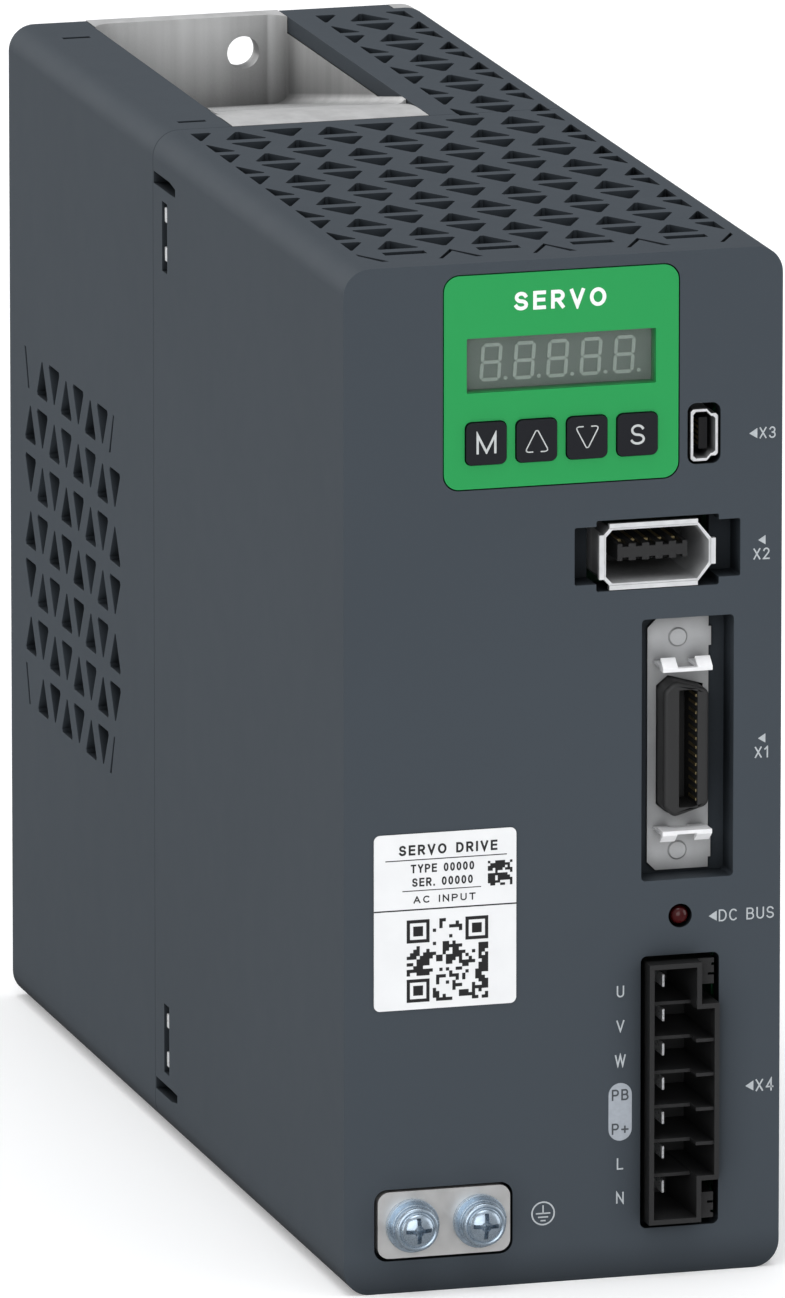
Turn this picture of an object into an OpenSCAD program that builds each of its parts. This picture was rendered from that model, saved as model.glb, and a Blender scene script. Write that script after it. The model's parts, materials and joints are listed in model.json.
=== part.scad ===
// Compact panel-mounted servo drive: aluminium chassis, two plastic shells,
// boards, cooling fan, keypad and front connectors. Millimetres, +Z up.
// The front panel faces -Y. X = 0 is the middle of the width, Z = 0 the underside.

/* [Body] */
// Width of the housing
body_w = 65; // [65:1:72]
// Height of the housing
body_h = 150; // [150:1:160]
// Depth from the front panel to the rear mounting face
body_d = 186; // [186:1:200]
// Wall thickness of the plastic shells
wall = 2.4; // [2:0.1:2.6]
// Radius of the long outer edges
edge_r = 3.9; // [3.6:0.1:5]
// Distance from the front panel to the joint between the two shells
seam_d = 102.7; // [102.7:0.1:104]
// Thickness of the rear mounting plate
plate_t = 3.4; // [3:0.1:4]

/* [Vents] */
// Length of a triangular vent's base
tri_base = 6.6; // [5.6:0.1:6.8]
// Height of a triangular vent
tri_height = 6; // [5:0.1:6.4]
// Distance between neighbouring vents in a row
tri_pitch = 6.94; // [6.94:0.01:7]
// Distance between rows of vents
row_pitch = 8.08; // [8:0.01:8.2]

/* [Keypad] */
// How far a button travels when it is pressed
key_travel = 0.35; // [0.2:0.05:0.35]
// How far a button stands out of the panel
key_proud = 0.4; // [0.35:0.05:0.6]

/* [Fan] */
// Side of the square fan frame
fan_size = 50; // [50:1:54]
// Thickness of the fan frame
fan_t = 15; // [14:0.5:15]
// Number of fan blades
fan_blades = 7; // [5:1:9]

/* [Terminals] */
// How far the earth screws stand out of the panel
screw_proud = 4.2; // [4:0.1:5]
// How far the power connector stands out of the panel
header_proud = 2.3; // [1:0.1:2.5]
// Distance between the power contacts
power_pitch = 5.08; // [5.08:0.01:5.09]
// Distance between the signal contacts
signal_pitch = 1.27; // [1.27:0.01:1.28]

/* [Hidden] */
$fn = 32;
eps = 0.01;
half_w = body_w / 2;
mid_z = body_h / 2;
front_y = screw_proud - (body_d + screw_proud) / 2; // front panel's outer face
seam_gap = 0.2;
front_wall = 2.5;
in_x = half_w - wall;                               // inner face of a side wall
rear_edge_d = body_d - 0.6;                         // rear edge of the plastic
plate_d = body_d - plate_t;                         // front face of the rear plate

// Connector side board: the boards stand upright near the right wall
board_x = 24.6;
board_t = 1.6;

// Keypad, measured from its own centre
pad_x = -0.33;
pad_z = 132.7;
pad_size = [34.7, 31];
pad_t = 2.5;
pad_clear = 0.18;
window_size = [28, 7.95];
window_z = 135.08;
key_size = [5.95, 6.1];
key_pitch = 7.46;
key_z = 123.8;
key_gap = 0.14;
digit_pitch = 4.93;
digit_size = [3.1, 5.5];
stroke = 0.5;

// Front connectors
usb_x = 20.95;
usb_z = 123;
encoder_z = 106.05;
signal_x = 18.45;
signal_z = 77.05;
signal_floor = 5;
header_z = 27.1;
header_floor = 13;
lamp_x = 17.52;
lamp_z = 52.83;
earth_x = [-22.4, -12.4];
earth_z = 9.95;

// Scoops over the two mounting holes
scoop_x = [-20.4, 9.65];
mount_x = 3.3;
mount_in = 5.6;                                     // hole centre from top or bottom
mount_r = 2.5;
scoop_deep = 13.7;
ramp_end_d = 112;
tab_x = 26.9;                                       // left edge of the plate's corner tabs

// Fan
fan_d = 149.2;
fan_z = mid_z + 0.2;
fan_hole = 20;                                      // half of the fan's screw spacing
fan_x0 = -in_x + 0.2;
fan_x1 = fan_x0 + fan_t;
fan_bore_r = 23.8;
blade_r = 23;
fan_hub_r = 10;
shaft_r = 1.5;

// ---------- helpers ----------
// A 2D shape in (x, z) drawn out between two depths behind the front panel
module along_y(d0, d1) {
    translate([0, front_y + d1, 0]) rotate([90, 0, 0]) linear_extrude(d1 - d0) children();
}
// A 2D shape in (depth, z) drawn out between two x positions
module along_x(x0, x1) {
    translate([x0, front_y, 0]) rotate([90, 0, 90]) linear_extrude(x1 - x0) children();
}
// A 2D shape in (x, depth) drawn out between two heights
module along_z(z0, z1) {
    translate([0, front_y, z0]) linear_extrude(z1 - z0) children();
}
module block(x0, x1, d0, d1, z0, z1) {
    translate([x0, front_y + d0, z0]) cube([x1 - x0, d1 - d0, z1 - z0]);
}
module rod_x(x0, x1, d, z, r) {
    translate([x0, front_y + d, z]) rotate([0, 90, 0]) cylinder(h = x1 - x0, r = r);
}
module rod_y(d0, d1, x, z, r, r_end = undef) {
    translate([x, front_y + d0, z]) rotate([-90, 0, 0])
        cylinder(h = d1 - d0, r1 = r, r2 = is_undef(r_end) ? r : r_end);
}
module round_rect(x0, x1, z0, z1, r) {
    translate([x0 + r, z0]) square([x1 - x0 - 2 * r, z1 - z0]);
    translate([x0, z0 + r]) square([x1 - x0, z1 - z0 - 2 * r]);
    for (x = [x0 + r, x1 - r], z = [z0 + r, z1 - r]) translate([x, z]) circle(r);
}
module centred_rect(x, z, size, r) {
    round_rect(x - size[0] / 2, x + size[0] / 2, z - size[1] / 2, z + size[1] / 2, r);
}
// The children, and again upside down at the other end of the height
module both_ends() {
    children();
    translate([0, 0, body_h]) mirror([0, 0, 1]) children();
}

// ---------- vents ----------
// Triangle with its corners cut, pointing to +y when up is true
module vent_triangle(up) {
    half = tri_base / 2;
    h = tri_height / 2;
    cut = 0.55;
    slope = [-half, tri_height] / norm([half, tri_height]);
    scale([1, up ? 1 : -1]) polygon([
        [cut - half, -h], [half - cut, -h], [half + cut * slope[0], cut * slope[1] - h],
        [-cut * slope[0], h - cut * slope[1]], [cut * slope[0], h - cut * slope[1]],
        [-half - cut * slope[0], cut * slope[1] - h]]);
}
vent_rows = 21;                                     // open rows on the top, from the rear
row0_d = 177.1;                                     // centre of the rearmost row
half_vents = 4;                                     // the pattern runs from -4 to 4
top_edge = half_vents * tri_pitch;
strip_x = 2 * tri_pitch;                            // left edge of the strip beside the scoop
// Top vents in (x, depth): a full field in front of the scoop, a strip beside it
module top_vents() {
    for (row = [0 : vent_rows - 1])
        intersection() {
            union() for (k = [(row < 10 ? 2 : -half_vents) : half_vents])
                translate([k * tri_pitch, row0_d - row * row_pitch])
                    vent_triangle((k + row) % 2 != 0);
            left = row < 10 ? strip_x : -top_edge;
            translate([left, row0_d - row * row_pitch - tri_height])
                square([top_edge - left, 2 * tri_height]);
        }
}
// Shallow marks where the pattern fades out towards the front edge
mark_d = row0_d - vent_rows * row_pitch;
module top_marks() {
    for (k = [-3 : 2 : 3])
        translate([k * tri_pitch - tri_base / 2 + 0.2, mark_d + 1]) square([tri_base - 0.4, 2]);
    for (k = [-2 : 2 : 2]) translate([k * tri_pitch, mark_d]) caret(0.9, 0.5);
    translate([-top_edge, mark_d]) intersection() {
        caret(0.9, 0.5);
        translate([0, -tri_height]) square([tri_base, 2 * tri_height]);
    }
    translate([top_edge, mark_d]) intersection() {
        caret(0.9, 0.5);
        translate([-tri_base, -tri_height]) square([tri_base, 2 * tri_height]);
    }
}
// Two legs of a triangle outline, the right one broader
module caret(right_w, left_w) {
    h = tri_height / 2;
    b = tri_base / 2;
    polygon([[0, h], [b, -h], [b - right_w * 1.2, -h], [-right_w * 0.3, h - 0.8]]);
    polygon([[0, h], [-b, -h], [left_w * 1.2 - b, -h], [left_w * 0.5, h - 0.9]]);
}
side_rows = 7;
side_cols = 8;
module side_cell(row, col) {
    translate([fan_d + (col - (side_cols - 1) / 2) * (tri_pitch + 0.01),
               fan_z + ((side_rows - 1) / 2 - row) * (row_pitch + 0.05)]) children();
}
// Vents over the fan in (depth, z); the four corner cells stay closed
module side_vents() {
    for (row = [0 : side_rows - 1], col = [0 : side_cols - 1])
        if (!((row == 0 || row == side_rows - 1) && (col == 0 || col == side_cols - 1)))
            side_cell(row, col) vent_triangle((row + col) % 2 == 0);
}
module side_marks() {
    h = tri_height / 2;
    b = tri_base / 2;
    for (row = [0, side_rows - 1]) {
        side_cell(row, 0) polygon([[b - 0.1, -h], [b - 0.9, -h], [0.3, h], [0.9, h]]);
        side_cell(row, side_cols - 1)
            polygon([[b - 0.1, h], [b - 0.9, h], [0.5, -h], [1.3, -h]]);
    }
}

// ---------- housings ----------
module outer_outline() {
    round_rect(-half_w, half_w, 0, body_h, edge_r);
}
module inner_outline(inset = 0) {
    t = wall + inset;
    round_rect(t - half_w, half_w - t, t, body_h - t, max(edge_r - t, 0.6));
}
// Everything cut through the top and bottom walls
module end_wall_cuts() {
    both_ends() {
        along_z(body_h - wall - 2.5, body_h + 1) top_vents();
        along_z(body_h - 0.6, body_h + 1) top_marks();
        for (d = [108.1, 173.5]) block(-27.2, -23, d - 0.6, d + 0.6, body_h - 1.2, body_h + 1);
    }
}
// Clip windows and slots in both side walls, next to the joint
clip_slot = [94.9, 97.7];
clip_z = [130.2, 140.6];
module side_wall_cuts() {
    for (side = [0, 1]) mirror([side, 0, 0]) both_ends() {
        along_x(-half_w - 1, -in_x + 1) polygon([[90.4, 142.5], [90.4, 143.7],
            [93.5, 144.2], [seam_d - 0.4, 144.2], [seam_d - 0.4, 142.4], [93.5, 142.4]]);
        block(-half_w - 1, -in_x + 1, clip_slot[0], clip_slot[1], clip_z[0], clip_z[1]);
    }
}
// Recesses round the encoder and signal connectors, and the walls behind them
encoder_recess_d = 5;
module encoder_recess() {
    round_rect(1.67, 26.3, 102.2, 110.6, 0.3);
}
module encoder_slot() {
    round_rect(4.9, 23.1, 101.1, 111.45, 0.3);
}
module signal_recess() {
    round_rect(11.7, 25.4, 58.2, 96.6, 0.6);
}
control_posts = [[16, 140], [86, 140], [16, 118], [86, 64]];
keypad_posts = [[-21.6, 120.5], [-21.6, 145]];
post_r = 3;
post_bore_r = 1.2;
module front_housing() {
    color("#4d545b") difference() {
        union() {
            difference() {
                along_y(0, seam_d - seam_gap / 2) outer_outline();
                along_y(front_wall, seam_d + 1) inner_outline();
            }
            along_y(front_wall - eps, encoder_recess_d + 1.3) round_rect(0.4, 27.6, 99.8, 112.7, 1);
            along_y(front_wall - eps, signal_floor + 1.3) round_rect(10.4, 26.7, 56.9, 97.9, 1);
            for (p = control_posts) rod_x(board_x + board_t, in_x + 1, p[0], p[1], post_r);
            for (p = keypad_posts) rod_y(front_wall - 1, 7.5, p[0], p[1], 2.6);
        }
        along_y(-1, front_wall + 1)
            centred_rect(pad_x, pad_z, pad_size + 2 * [pad_clear, pad_clear], 2.4);
        along_y(-1, front_wall + 1) round_rect(18.37, 23.31, 118.85, 127.75, 1.3);
        along_y(-1, encoder_recess_d) encoder_recess();
        along_y(-1, encoder_recess_d + 3) encoder_slot();
        along_y(-1, signal_floor) signal_recess();
        along_y(-1, signal_floor + 3) round_rect(14.5, 22.5, 66, 88.1, 0.5);
        along_y(-1, front_wall + 1) round_rect(11.65, 23.35, 6.95, 47.15, 0.9);
        along_y(-1, front_wall + 1) round_rect(-28, -7.38, 4.77, 15.35, 1.9);
        rod_y(-1, front_wall + 1, lamp_x, lamp_z, 1.75);
        for (p = control_posts) rod_x(board_x, in_x, p[0], p[1], post_bore_r);
        for (p = keypad_posts) rod_y(3.2, 8, p[0], p[1], 0.9);
        end_wall_cuts();
        side_wall_cuts();
    }
}

boss_x = half_w - 6.2;
boss_z = 10;
boss_r = 3.2;
module rear_housing() {
    lip = 1.2;
    clear = 0.15;
    color("#4a5056") difference() {
        union() {
            difference() {
                along_y(seam_d + seam_gap / 2, rear_edge_d) outer_outline();
                along_y(seam_d, body_d) inner_outline();
            }
            // lip that the front shell slides over
            difference() {
                union() {
                    along_y(seam_d - 3, seam_d + 0.2) inner_outline(clear);
                    along_y(seam_d + seam_gap / 2, seam_d + 3) inner_outline(-eps);
                }
                along_y(seam_d - 4, seam_d + 4) inner_outline(clear + lip);
            }
            for (side = [0, 1]) mirror([side, 0, 0]) both_ends() {
                rod_y(166, plate_d, boss_x, boss_z, boss_r);
                block(boss_x, in_x + 1, 166, plate_d, boss_z - 1, boss_z + 1);
            }
        }
        // openings over the metal scoops
        both_ends() {
            block(scoop_x[0], scoop_x[1], seam_d, body_d, body_h - wall - 2, body_h + 1);
            block(tab_x - 0.2, in_x - 0.4, plate_d - 0.2, body_d, body_h - wall - 2, body_h + 1);
            block(tab_x - 0.2, half_w + 1, plate_d - 0.2, body_d, body_h - wall, body_h + 1);
        }
        for (side = [0, 1]) mirror([side, 0, 0]) both_ends()
            rod_y(165, body_d, boss_x, boss_z, 1.3);
        along_x(-half_w - 1, -in_x + 1) side_vents();
        along_x(-half_w - 1, -half_w + 0.4) side_marks();
        end_wall_cuts();
        side_wall_cuts();
    }
}

// ---------- chassis ----------
fin_z0 = 21;
fin_pitch = 5.4;
fin_count = 21;
fin_t = 1.7;
base_x = [9.8, 13];
fin_x0 = fan_x1 + 2.5;
ramp_r = 40;
ramp_tilt = atan2(scoop_deep - 1, plate_d - ramp_end_d);
ramp_low = [plate_d + eps, body_h - scoop_deep];
ramp_high = [ramp_end_d - 4 + ramp_r * sin(ramp_tilt), body_h - ramp_r * (1 - cos(ramp_tilt))];
ramp_slope = (ramp_high[1] - ramp_low[1]) / (ramp_low[0] - ramp_high[0]);
function ramp_z(d) = ramp_low[1] + (ramp_low[0] - d) * ramp_slope;
wall_top = body_h - wall - 0.2;
module ramp_profile() {
    polygon(concat(
        [[seam_d + 0.25, body_h - 5], ramp_low - [0, 2.6], ramp_low],
        [for (i = [6 : -1 : 0]) let (a = ramp_tilt * i / 6)
            [ramp_end_d - 4 + ramp_r * sin(a), body_h - ramp_r * (1 - cos(a))]],
        [[seam_d + 0.25, body_h]]));
}
// Fillets where the side wall on the right meets the ramp and the plate
module fillet_outline(r) {
    difference() {
        translate([-r, -0.3]) square([r + 0.2, r + 0.3]);
        translate([-r, r]) circle(r, $fn = 48);
    }
}
module ramp_corner() {
    intersection() {
        translate([scoop_x[1], front_y + ramp_low[0], ramp_low[1]]) {
            rotate([90 - atan(ramp_slope), 0, 0]) linear_extrude(norm(ramp_high - ramp_low)) fillet_outline(1.6);
            mirror([0, 1, 0]) linear_extrude(20) fillet_outline(3);
        }
        union() {
            block(scoop_x[0], scoop_x[1] + 1, seam_d + 3.2, plate_d + 0.2, 100, wall_top);
            block(scoop_x[0], scoop_x[1] - 0.1, seam_d + 3.2, plate_d + 0.2, wall_top - eps, body_h);
        }
    }
}
module scoop() {
    gap = 0.1;
    along_x(scoop_x[0] + gap, scoop_x[1] - gap) ramp_profile();
    for (x = [scoop_x[0] - 2.2, scoop_x[1]])
        block(x, x + 2.2, seam_d + 3.2, plate_d + eps, ramp_low[1] - 2.6, wall_top);
    // ledges that close the ramp against its side walls
    for (x = [scoop_x[0] - eps, scoop_x[1] - gap - eps])
        along_x(x, x + gap + 2 * eps) intersection() {
            ramp_profile();
            translate([seam_d + 3.2, 0]) square([plate_d, wall_top]);
        }
    ramp_corner();
    mid_x = (scoop_x[0] + scoop_x[1]) / 2;
    translate([2 * mid_x, 0, 0]) mirror([1, 0, 0]) ramp_corner();
}
// Fine grooves across the ramp
module ramp_grooves() {
    for (i = [0 : 5]) {
        d = plate_d - 1.6 - 8 * i;
        along_x(scoop_x[0] + 0.3, 5.5) translate([d, ramp_z(d)]) rotate(-atan(ramp_slope))
            square([0.3, 0.5], center = true);
    }
}
module heatsink() {
    color("#b9bcbd") difference() {
        union() {
            along_y(plate_d, body_d) union() {
                round_rect(0.25 - in_x, in_x - 0.25, wall + 0.25, body_h - wall - 0.25, 1);
                translate([scoop_x[0] + 0.1, 0]) square([scoop_x[1] - scoop_x[0] - 0.2, body_h]);
                intersection() {
                    round_rect(0.1 - half_w, half_w - 0.1, 0.1, body_h - 0.1, edge_r - 0.1);
                    union() {
                        translate([tab_x, 0]) square([in_x - 0.6 - tab_x, body_h]);
                        for (z = [0, body_h - wall + 0.1]) translate([tab_x, z]) square([6, wall - 0.1]);
                    }
                }
            }
            both_ends() scoop();
            block(base_x[0], base_x[1], seam_d + 3.2, plate_d + eps, 12, body_h - 12);
            for (i = [0 : fin_count - 1]) {
                z = fin_z0 + i * fin_pitch;
                block(fin_x0, base_x[0] + eps, 112, plate_d + eps, z - fin_t / 2, z + fin_t / 2);
            }
            for (y = [-fan_hole, fan_hole], z = [-fan_hole, fan_hole])
                rod_x(fan_x1, base_x[0] + 1, fan_d + y, fan_z + z, 3);
        }
        both_ends() rod_y(plate_d - 1, body_d + 1, mount_x, mount_in, mount_r);
        both_ends() ramp_grooves();
        for (y = [-fan_hole, fan_hole], z = [-fan_hole, fan_hole])
            rod_x(fan_x1 - 1, fan_x1 + 9, fan_d + y, fan_z + z, 1.45);
        for (side = [0, 1]) mirror([side, 0, 0]) both_ends() {
            rod_y(plate_d - 1, body_d + 1, boss_x, boss_z, 1.6);
            rod_y(body_d - 1.7, body_d + 0.01, boss_x, boss_z, 1.6, 3.1);
        }
        for (p = rear_posts) rod_x(base_x[1] - 2.6, base_x[1] + 1, p[0], p[1], 1.2);
    }
}
// Countersunk screws through the rear plate into the rear shell
module chassis_screws() {
    color("#9da0a3") for (side = [0, 1]) mirror([side, 0, 0]) both_ends() difference() {
        union() {
            rod_y(body_d - 12, body_d - 1.5, boss_x, boss_z, 1.25);
            rod_y(body_d - 1.75, body_d - 0.1, boss_x, boss_z, 1.45, 2.95);
        }
        block(boss_x - 1.6, boss_x + 1.6, body_d - 1, body_d + 1, boss_z - 0.3, boss_z + 0.3);
        block(boss_x - 0.3, boss_x + 0.3, body_d - 1, body_d + 1, boss_z - 1.6, boss_z + 1.6);
    }
}
// Metal spring clips that hold the shells together, seen through the side slots
module housing_clips() {
    tip_in = 0.35;                                  // tips end this far below the surface
    color("#c9cdd0") for (side = [0, 1]) mirror([side, 0, 0]) both_ends() {
        block(0.05 - in_x, 0.9 - in_x, 92.5, 98.9, 129, 141.4);
        for (z = [[131.7, 133.8], [137.5, 139.7]])
            block(tip_in - half_w, 0.1 - in_x, 96.1, 97.5, z[0], z[1]);
    }
}

// ---------- keypad ----------
key_x = [for (i = [0 : 3]) pad_x + (i - 1.5) * key_pitch];
module keypad_panel() {
    color("#34a45a") difference() {
        union() {
            along_y(0, pad_t + 0.5) centred_rect(pad_x, pad_z, pad_size, 2.28);
            along_y(pad_t + eps, pad_t + 1)
                round_rect(pad_x - 18.4, pad_x + 18.2, 115.6, body_h - wall - 0.1, 1);
        }
        along_y(-1, 5) centred_rect(pad_x, window_z, window_size, 0.2);
        for (x = key_x)
            along_y(-1, 5) centred_rect(x, key_z, key_size + 2 * [key_gap, key_gap], 1);
    }
}
window_in = 0.8;
face_d = 2;
module display_window() {
    color("#6f7a73", 0.5) along_y(window_in, face_d - 0.1)
        centred_rect(pad_x, window_z, window_size - [0.1, 0.1], 0.15);
}
module display_module() {
    color("#3d423f")
        along_y(face_d, 7.5) centred_rect(pad_x, window_z, window_size - [0.3, 0.3], 0.15);
}
// One bar of a digit, lying along x
module segment(len) {
    h = stroke / 2;
    polygon([[-len / 2, 0], [h - len / 2, h], [len / 2 - h, h], [len / 2, 0],
             [len / 2 - h, -h], [h - len / 2, -h]]);
}
slant = 0.07;
module digit() {
    w = digit_size[0] - stroke;
    h = (digit_size[1] - stroke) / 2;
    multmatrix([[1, slant, 0, 0], [0, 1, 0, 0], [0, 0, 1, 0], [0, 0, 0, 1]]) {
        for (i = [-1 : 1]) translate([0, i * h]) segment(w - 0.1);
        for (i = [-1, 1], s = [-1, 1])
            translate([s * w / 2, i * h / 2]) rotate(90) segment(h - 0.1);
    }
    translate([w / 2 + 0.85, 0.1 - h]) circle(0.28, $fn = 16);
}
module display_segments() {
    color("#a8b3ac") for (i = [-2 : 2])
        along_y(face_d - 0.1, face_d) translate([pad_x + i * digit_pitch, window_z]) digit();
}
module key_button(i) {
    color("#2b2d33") {
        along_y(-key_proud, pad_t + 1.2) centred_rect(key_x[i], key_z, key_size, 0.9);
        along_y(pad_t + 1.2, pad_t + 1.7) centred_rect(key_x[i], key_z, key_size + [1, 1], 0.9);
        rod_y(pad_t + 1.6, 4.7, key_x[i], key_z, 1.5);
    }
}
module button_mode() key_button(0);
module button_up() key_button(1);
module button_down() key_button(2);
module button_set() key_button(3);
keypad_board_d = 7.5;
module keypad_board() {
    color("#2f6b3c") difference() {
        block(-24.6, 17, keypad_board_d, keypad_board_d + board_t, 116.2, 147.2);
        for (p = keypad_posts) rod_y(7, 10, p[0], p[1], 1.1);
    }
}
// Short-stroke switches behind the buttons
module key_switches() {
    color("#1d1e20") for (x = key_x) {
        block(x - 3, x + 3, 5.6, keypad_board_d, key_z - 3, key_z + 3);
        rod_y(4.7 + key_travel + 0.05, 5.7, x, key_z, 1.6);
    }
}
module keypad_screws() {
    color("#b4b8bb") for (p = keypad_posts) {
        rod_y(3.6, keypad_board_d + board_t + 0.01, p[0], p[1], 0.85);
        rod_y(keypad_board_d + board_t, keypad_board_d + board_t + 1.5, p[0], p[1], 2.1);
    }
}
// Plug-in header that joins the keypad board to the control board
module keypad_link() {
    color("#202224") {
        block(10, 16, keypad_board_d + board_t, 14.5, 129, 145);
        block(15.9, board_x, 11.5, 14.5, 131, 136.5);
    }
}

// ---------- boards ----------
rear_posts = [[112, 20], [160, 20], [112, 130], [160, 130]];
module control_board() {
    color("#2f6b3c") difference() {
        block(board_x, board_x + board_t, 8, 98, 58, 146);
        for (p = control_posts) rod_x(board_x - 1, board_x + 3, p[0], p[1], 1.4);
    }
}
module control_chips() {
    color("#1d1e20") {
        block(board_x - 1.5, board_x, 44, 64, 92, 112);
        block(board_x - 1.2, board_x, 72, 82, 96, 108);
        block(board_x - 1.8, board_x, 46, 58, 70, 82);
    }
}
// L-shaped board: low in the front half, full height in the rear half
module power_board() {
    color("#2a6136") difference() {
        along_x(board_x, board_x + board_t)
            polygon([[8, 4], [165, 4], [165, 146], [104, 146], [104, 56.5], [8, 56.5]]);
        for (p = rear_posts) rod_x(board_x - 1, board_x + 3, p[0], p[1], 1.7);
    }
}
module board_standoffs() {
    color("#c8a45a") for (p = rear_posts) difference() {
        rod_x(base_x[1], board_x, p[0], p[1], 2.8);
        rod_x(board_x - 6, board_x + 1, p[0], p[1], 1.5);
    }
}
module board_screws() {
    color("#b4b8bb") {
        for (p = rear_posts) {
            rod_x(board_x - 5, board_x + board_t + 0.01, p[0], p[1], 1.4);
            rod_x(board_x + board_t, board_x + board_t + 1.9, p[0], p[1], 2.8);
        }
        for (p = control_posts) {
            rod_x(board_x - 0.01, board_x + board_t + 3, p[0], p[1], 1.1);
            rod_x(board_x - 1.8, board_x, p[0], p[1], 2.4);
        }
    }
}
capacitor_r = 12.5;
module bus_capacitors() {
    color("#23262b") for (d = [38, 64.5, 91]) {
        rod_x(board_x - 37, board_x, d, 19, capacitor_r);
        rod_x(board_x - 38, board_x - 37 + eps, d, 19, capacitor_r - 1.2);
    }
}
module charge_relay() {
    color("#d8d2c0") block(board_x - 16, board_x, 30, 50, 35, 50);
}
module power_module() {
    color("#26282a") {
        block(base_x[1], base_x[1] + 6, 118, 154, 38, 64);
        for (i = [0 : 10], z = [38.5, 62.5])
            block(base_x[1] + 5.9, board_x, 121 + i * 3, 121.8 + i * 3, z, z + 1);
    }
}
module rectifier() {
    color("#26282a") {
        block(base_x[1], base_x[1] + 4.6, 120, 146, 84, 104);
        for (i = [0 : 3]) block(base_x[1] + 4.5, board_x, 123.5 + i * 6, 124.5 + i * 6, 84.5, 85.5);
    }
}

// ---------- service port ----------
// Half of the stepped outline; the broad side is on the left
module usb_outline(inset) {
    a = 2.05 - inset;
    broad = 3.8 - inset;
    narrow = 3.1 - inset;
    polygon([[-a, -broad + 0.4], [0.4 - a, -broad], [0.35, -broad], [1, -narrow],
        [a - 0.35, -narrow], [a, 0.35 - narrow], [a, narrow - 0.35], [a - 0.35, narrow],
        [1, narrow], [0.35, broad], [0.4 - a, broad], [-a, broad - 0.4]]);
}
usb_t = 0.42;
module usb_shell() {
    color("#d5d8da") difference() {
        along_y(0.2, 9.4) translate([usb_x, usb_z]) usb_outline(0);
        along_y(-1, 10) translate([usb_x, usb_z]) usb_outline(usb_t);
    }
}
tongue_x = [usb_x - 0.45, usb_x + 0.85];
usb_pitch = 0.8;
// Something at each of the ten contact places, drawn inwards from a side of the tongue
module at_usb_contacts() {
    for (i = [-2 : 2], s = [0, 1])
        translate([tongue_x[s], front_y, usb_z + i * usb_pitch]) mirror([s, 0, 0]) children();
}
module usb_tongue() {
    color("#17181a") {
        difference() {
            block(tongue_x[0], tongue_x[1], 1.6, 9.5, usb_z - 2.3, usb_z + 2.3);
            at_usb_contacts() translate([-1, 2, -0.25]) cube([1.22, 6.4, 0.5]);
        }
        block(usb_x - 1.6, board_x, 9.4, 11.2, usb_z - 3.4, usb_z + 3.4);
    }
}
module usb_contacts() {
    color("#c9a84c") at_usb_contacts() translate([0.02, 2.1, -0.19]) cube([0.18, 6.2, 0.38]);
}

// ---------- encoder port ----------
// Blunt on the left, tapered on the right
module encoder_outline(inset) {
    left = 6.0 + inset;
    right = 22.0 - inset;
    h = 4.25 - inset;
    polygon([[left, 1 - h], [left + 0.95, -h], [20.1 - inset / 2, -h], [right, 2.3 - h],
        [right, h - 2.3], [20.1 - inset / 2, h], [left + 0.95, h], [left, h - 1]]);
}
module encoder_shell() {
    color("#d5d8da") difference() {
        union() {
            along_y(0.1, 14) translate([0, encoder_z]) encoder_outline(0);
            along_y(0, 0.9) translate([0, encoder_z]) {
                translate([6.85, 4.2]) square([13.15, 0.65]);
                translate([6.85, -4.85]) square([13.15, 0.65]);
                translate([5.35, -3.25]) square([0.7, 6.5]);
                translate([21.95, -1.9]) square([0.7, 3.8]);
            }
        }
        along_y(-1, 15) translate([0, encoder_z]) encoder_outline(0.36);
    }
}
encoder_tongue_x = [8.75, 19.2];
encoder_tongue_half = 1.25;
encoder_tongue_d = 2.5;
encoder_pitch = 2;
// Something at each of the ten contact places, drawn inwards from a face of the tongue
module at_encoder_contacts() {
    mid_x = (encoder_tongue_x[0] + encoder_tongue_x[1]) / 2;
    for (i = [-2 : 2], s = [0, 1])
        translate([mid_x + i * encoder_pitch, front_y, encoder_z]) mirror([0, 0, s])
            translate([0, 0, encoder_tongue_half]) children();
}
module encoder_tongue() {
    color("#2b2c2d") {
        difference() {
            block(encoder_tongue_x[0], encoder_tongue_x[1], encoder_tongue_d, 14.1,
                encoder_z - encoder_tongue_half, encoder_z + encoder_tongue_half);
            at_encoder_contacts()
                translate([-0.45, encoder_tongue_d - 1, -0.45]) cube([0.9, 11.5, 1]);
        }
        block(6.4, board_x, 14, 17, encoder_z - 3.9, encoder_z + 3.9);
    }
}
module encoder_contacts() {
    color("#c9a84c") at_encoder_contacts()
        translate([-0.32, encoder_tongue_d + 3.5, -0.44]) cube([0.64, 6.8, 0.3]);
}

// ---------- signal port ----------
plate_half = [4.55, 18.45];
module signal_plate() {
    x0 = signal_x - plate_half[0];
    x1 = signal_x + plate_half[0];
    z0 = signal_z - plate_half[1];
    z1 = signal_z + plate_half[1];
    cut = 1.25;
    color("#c4c6c7") {
        difference() {
            along_y(signal_floor - 0.4, signal_floor) {
                polygon([[x0 + cut, z0], [x1, z0], [x1, z1], [x0 + cut, z1], [x0, z1 - cut],
                    [x0, z0 + cut]]);
                for (z = [z0 + 1.5, z1 - 4.3]) translate([x1 - eps, z]) square([0.4, 2.8]);
            }
            along_y(signal_floor - 1, signal_floor + 1) translate([0, signal_z]) shroud_outline(0.1);
        }
        for (s = [-1, 1]) {
            z = signal_z + s * 15.65;
            rod_y(signal_floor - 0.62, signal_floor - 0.4 + eps, signal_x - 0.05, z, 1.2, 1.45);
        }
    }
}
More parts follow.
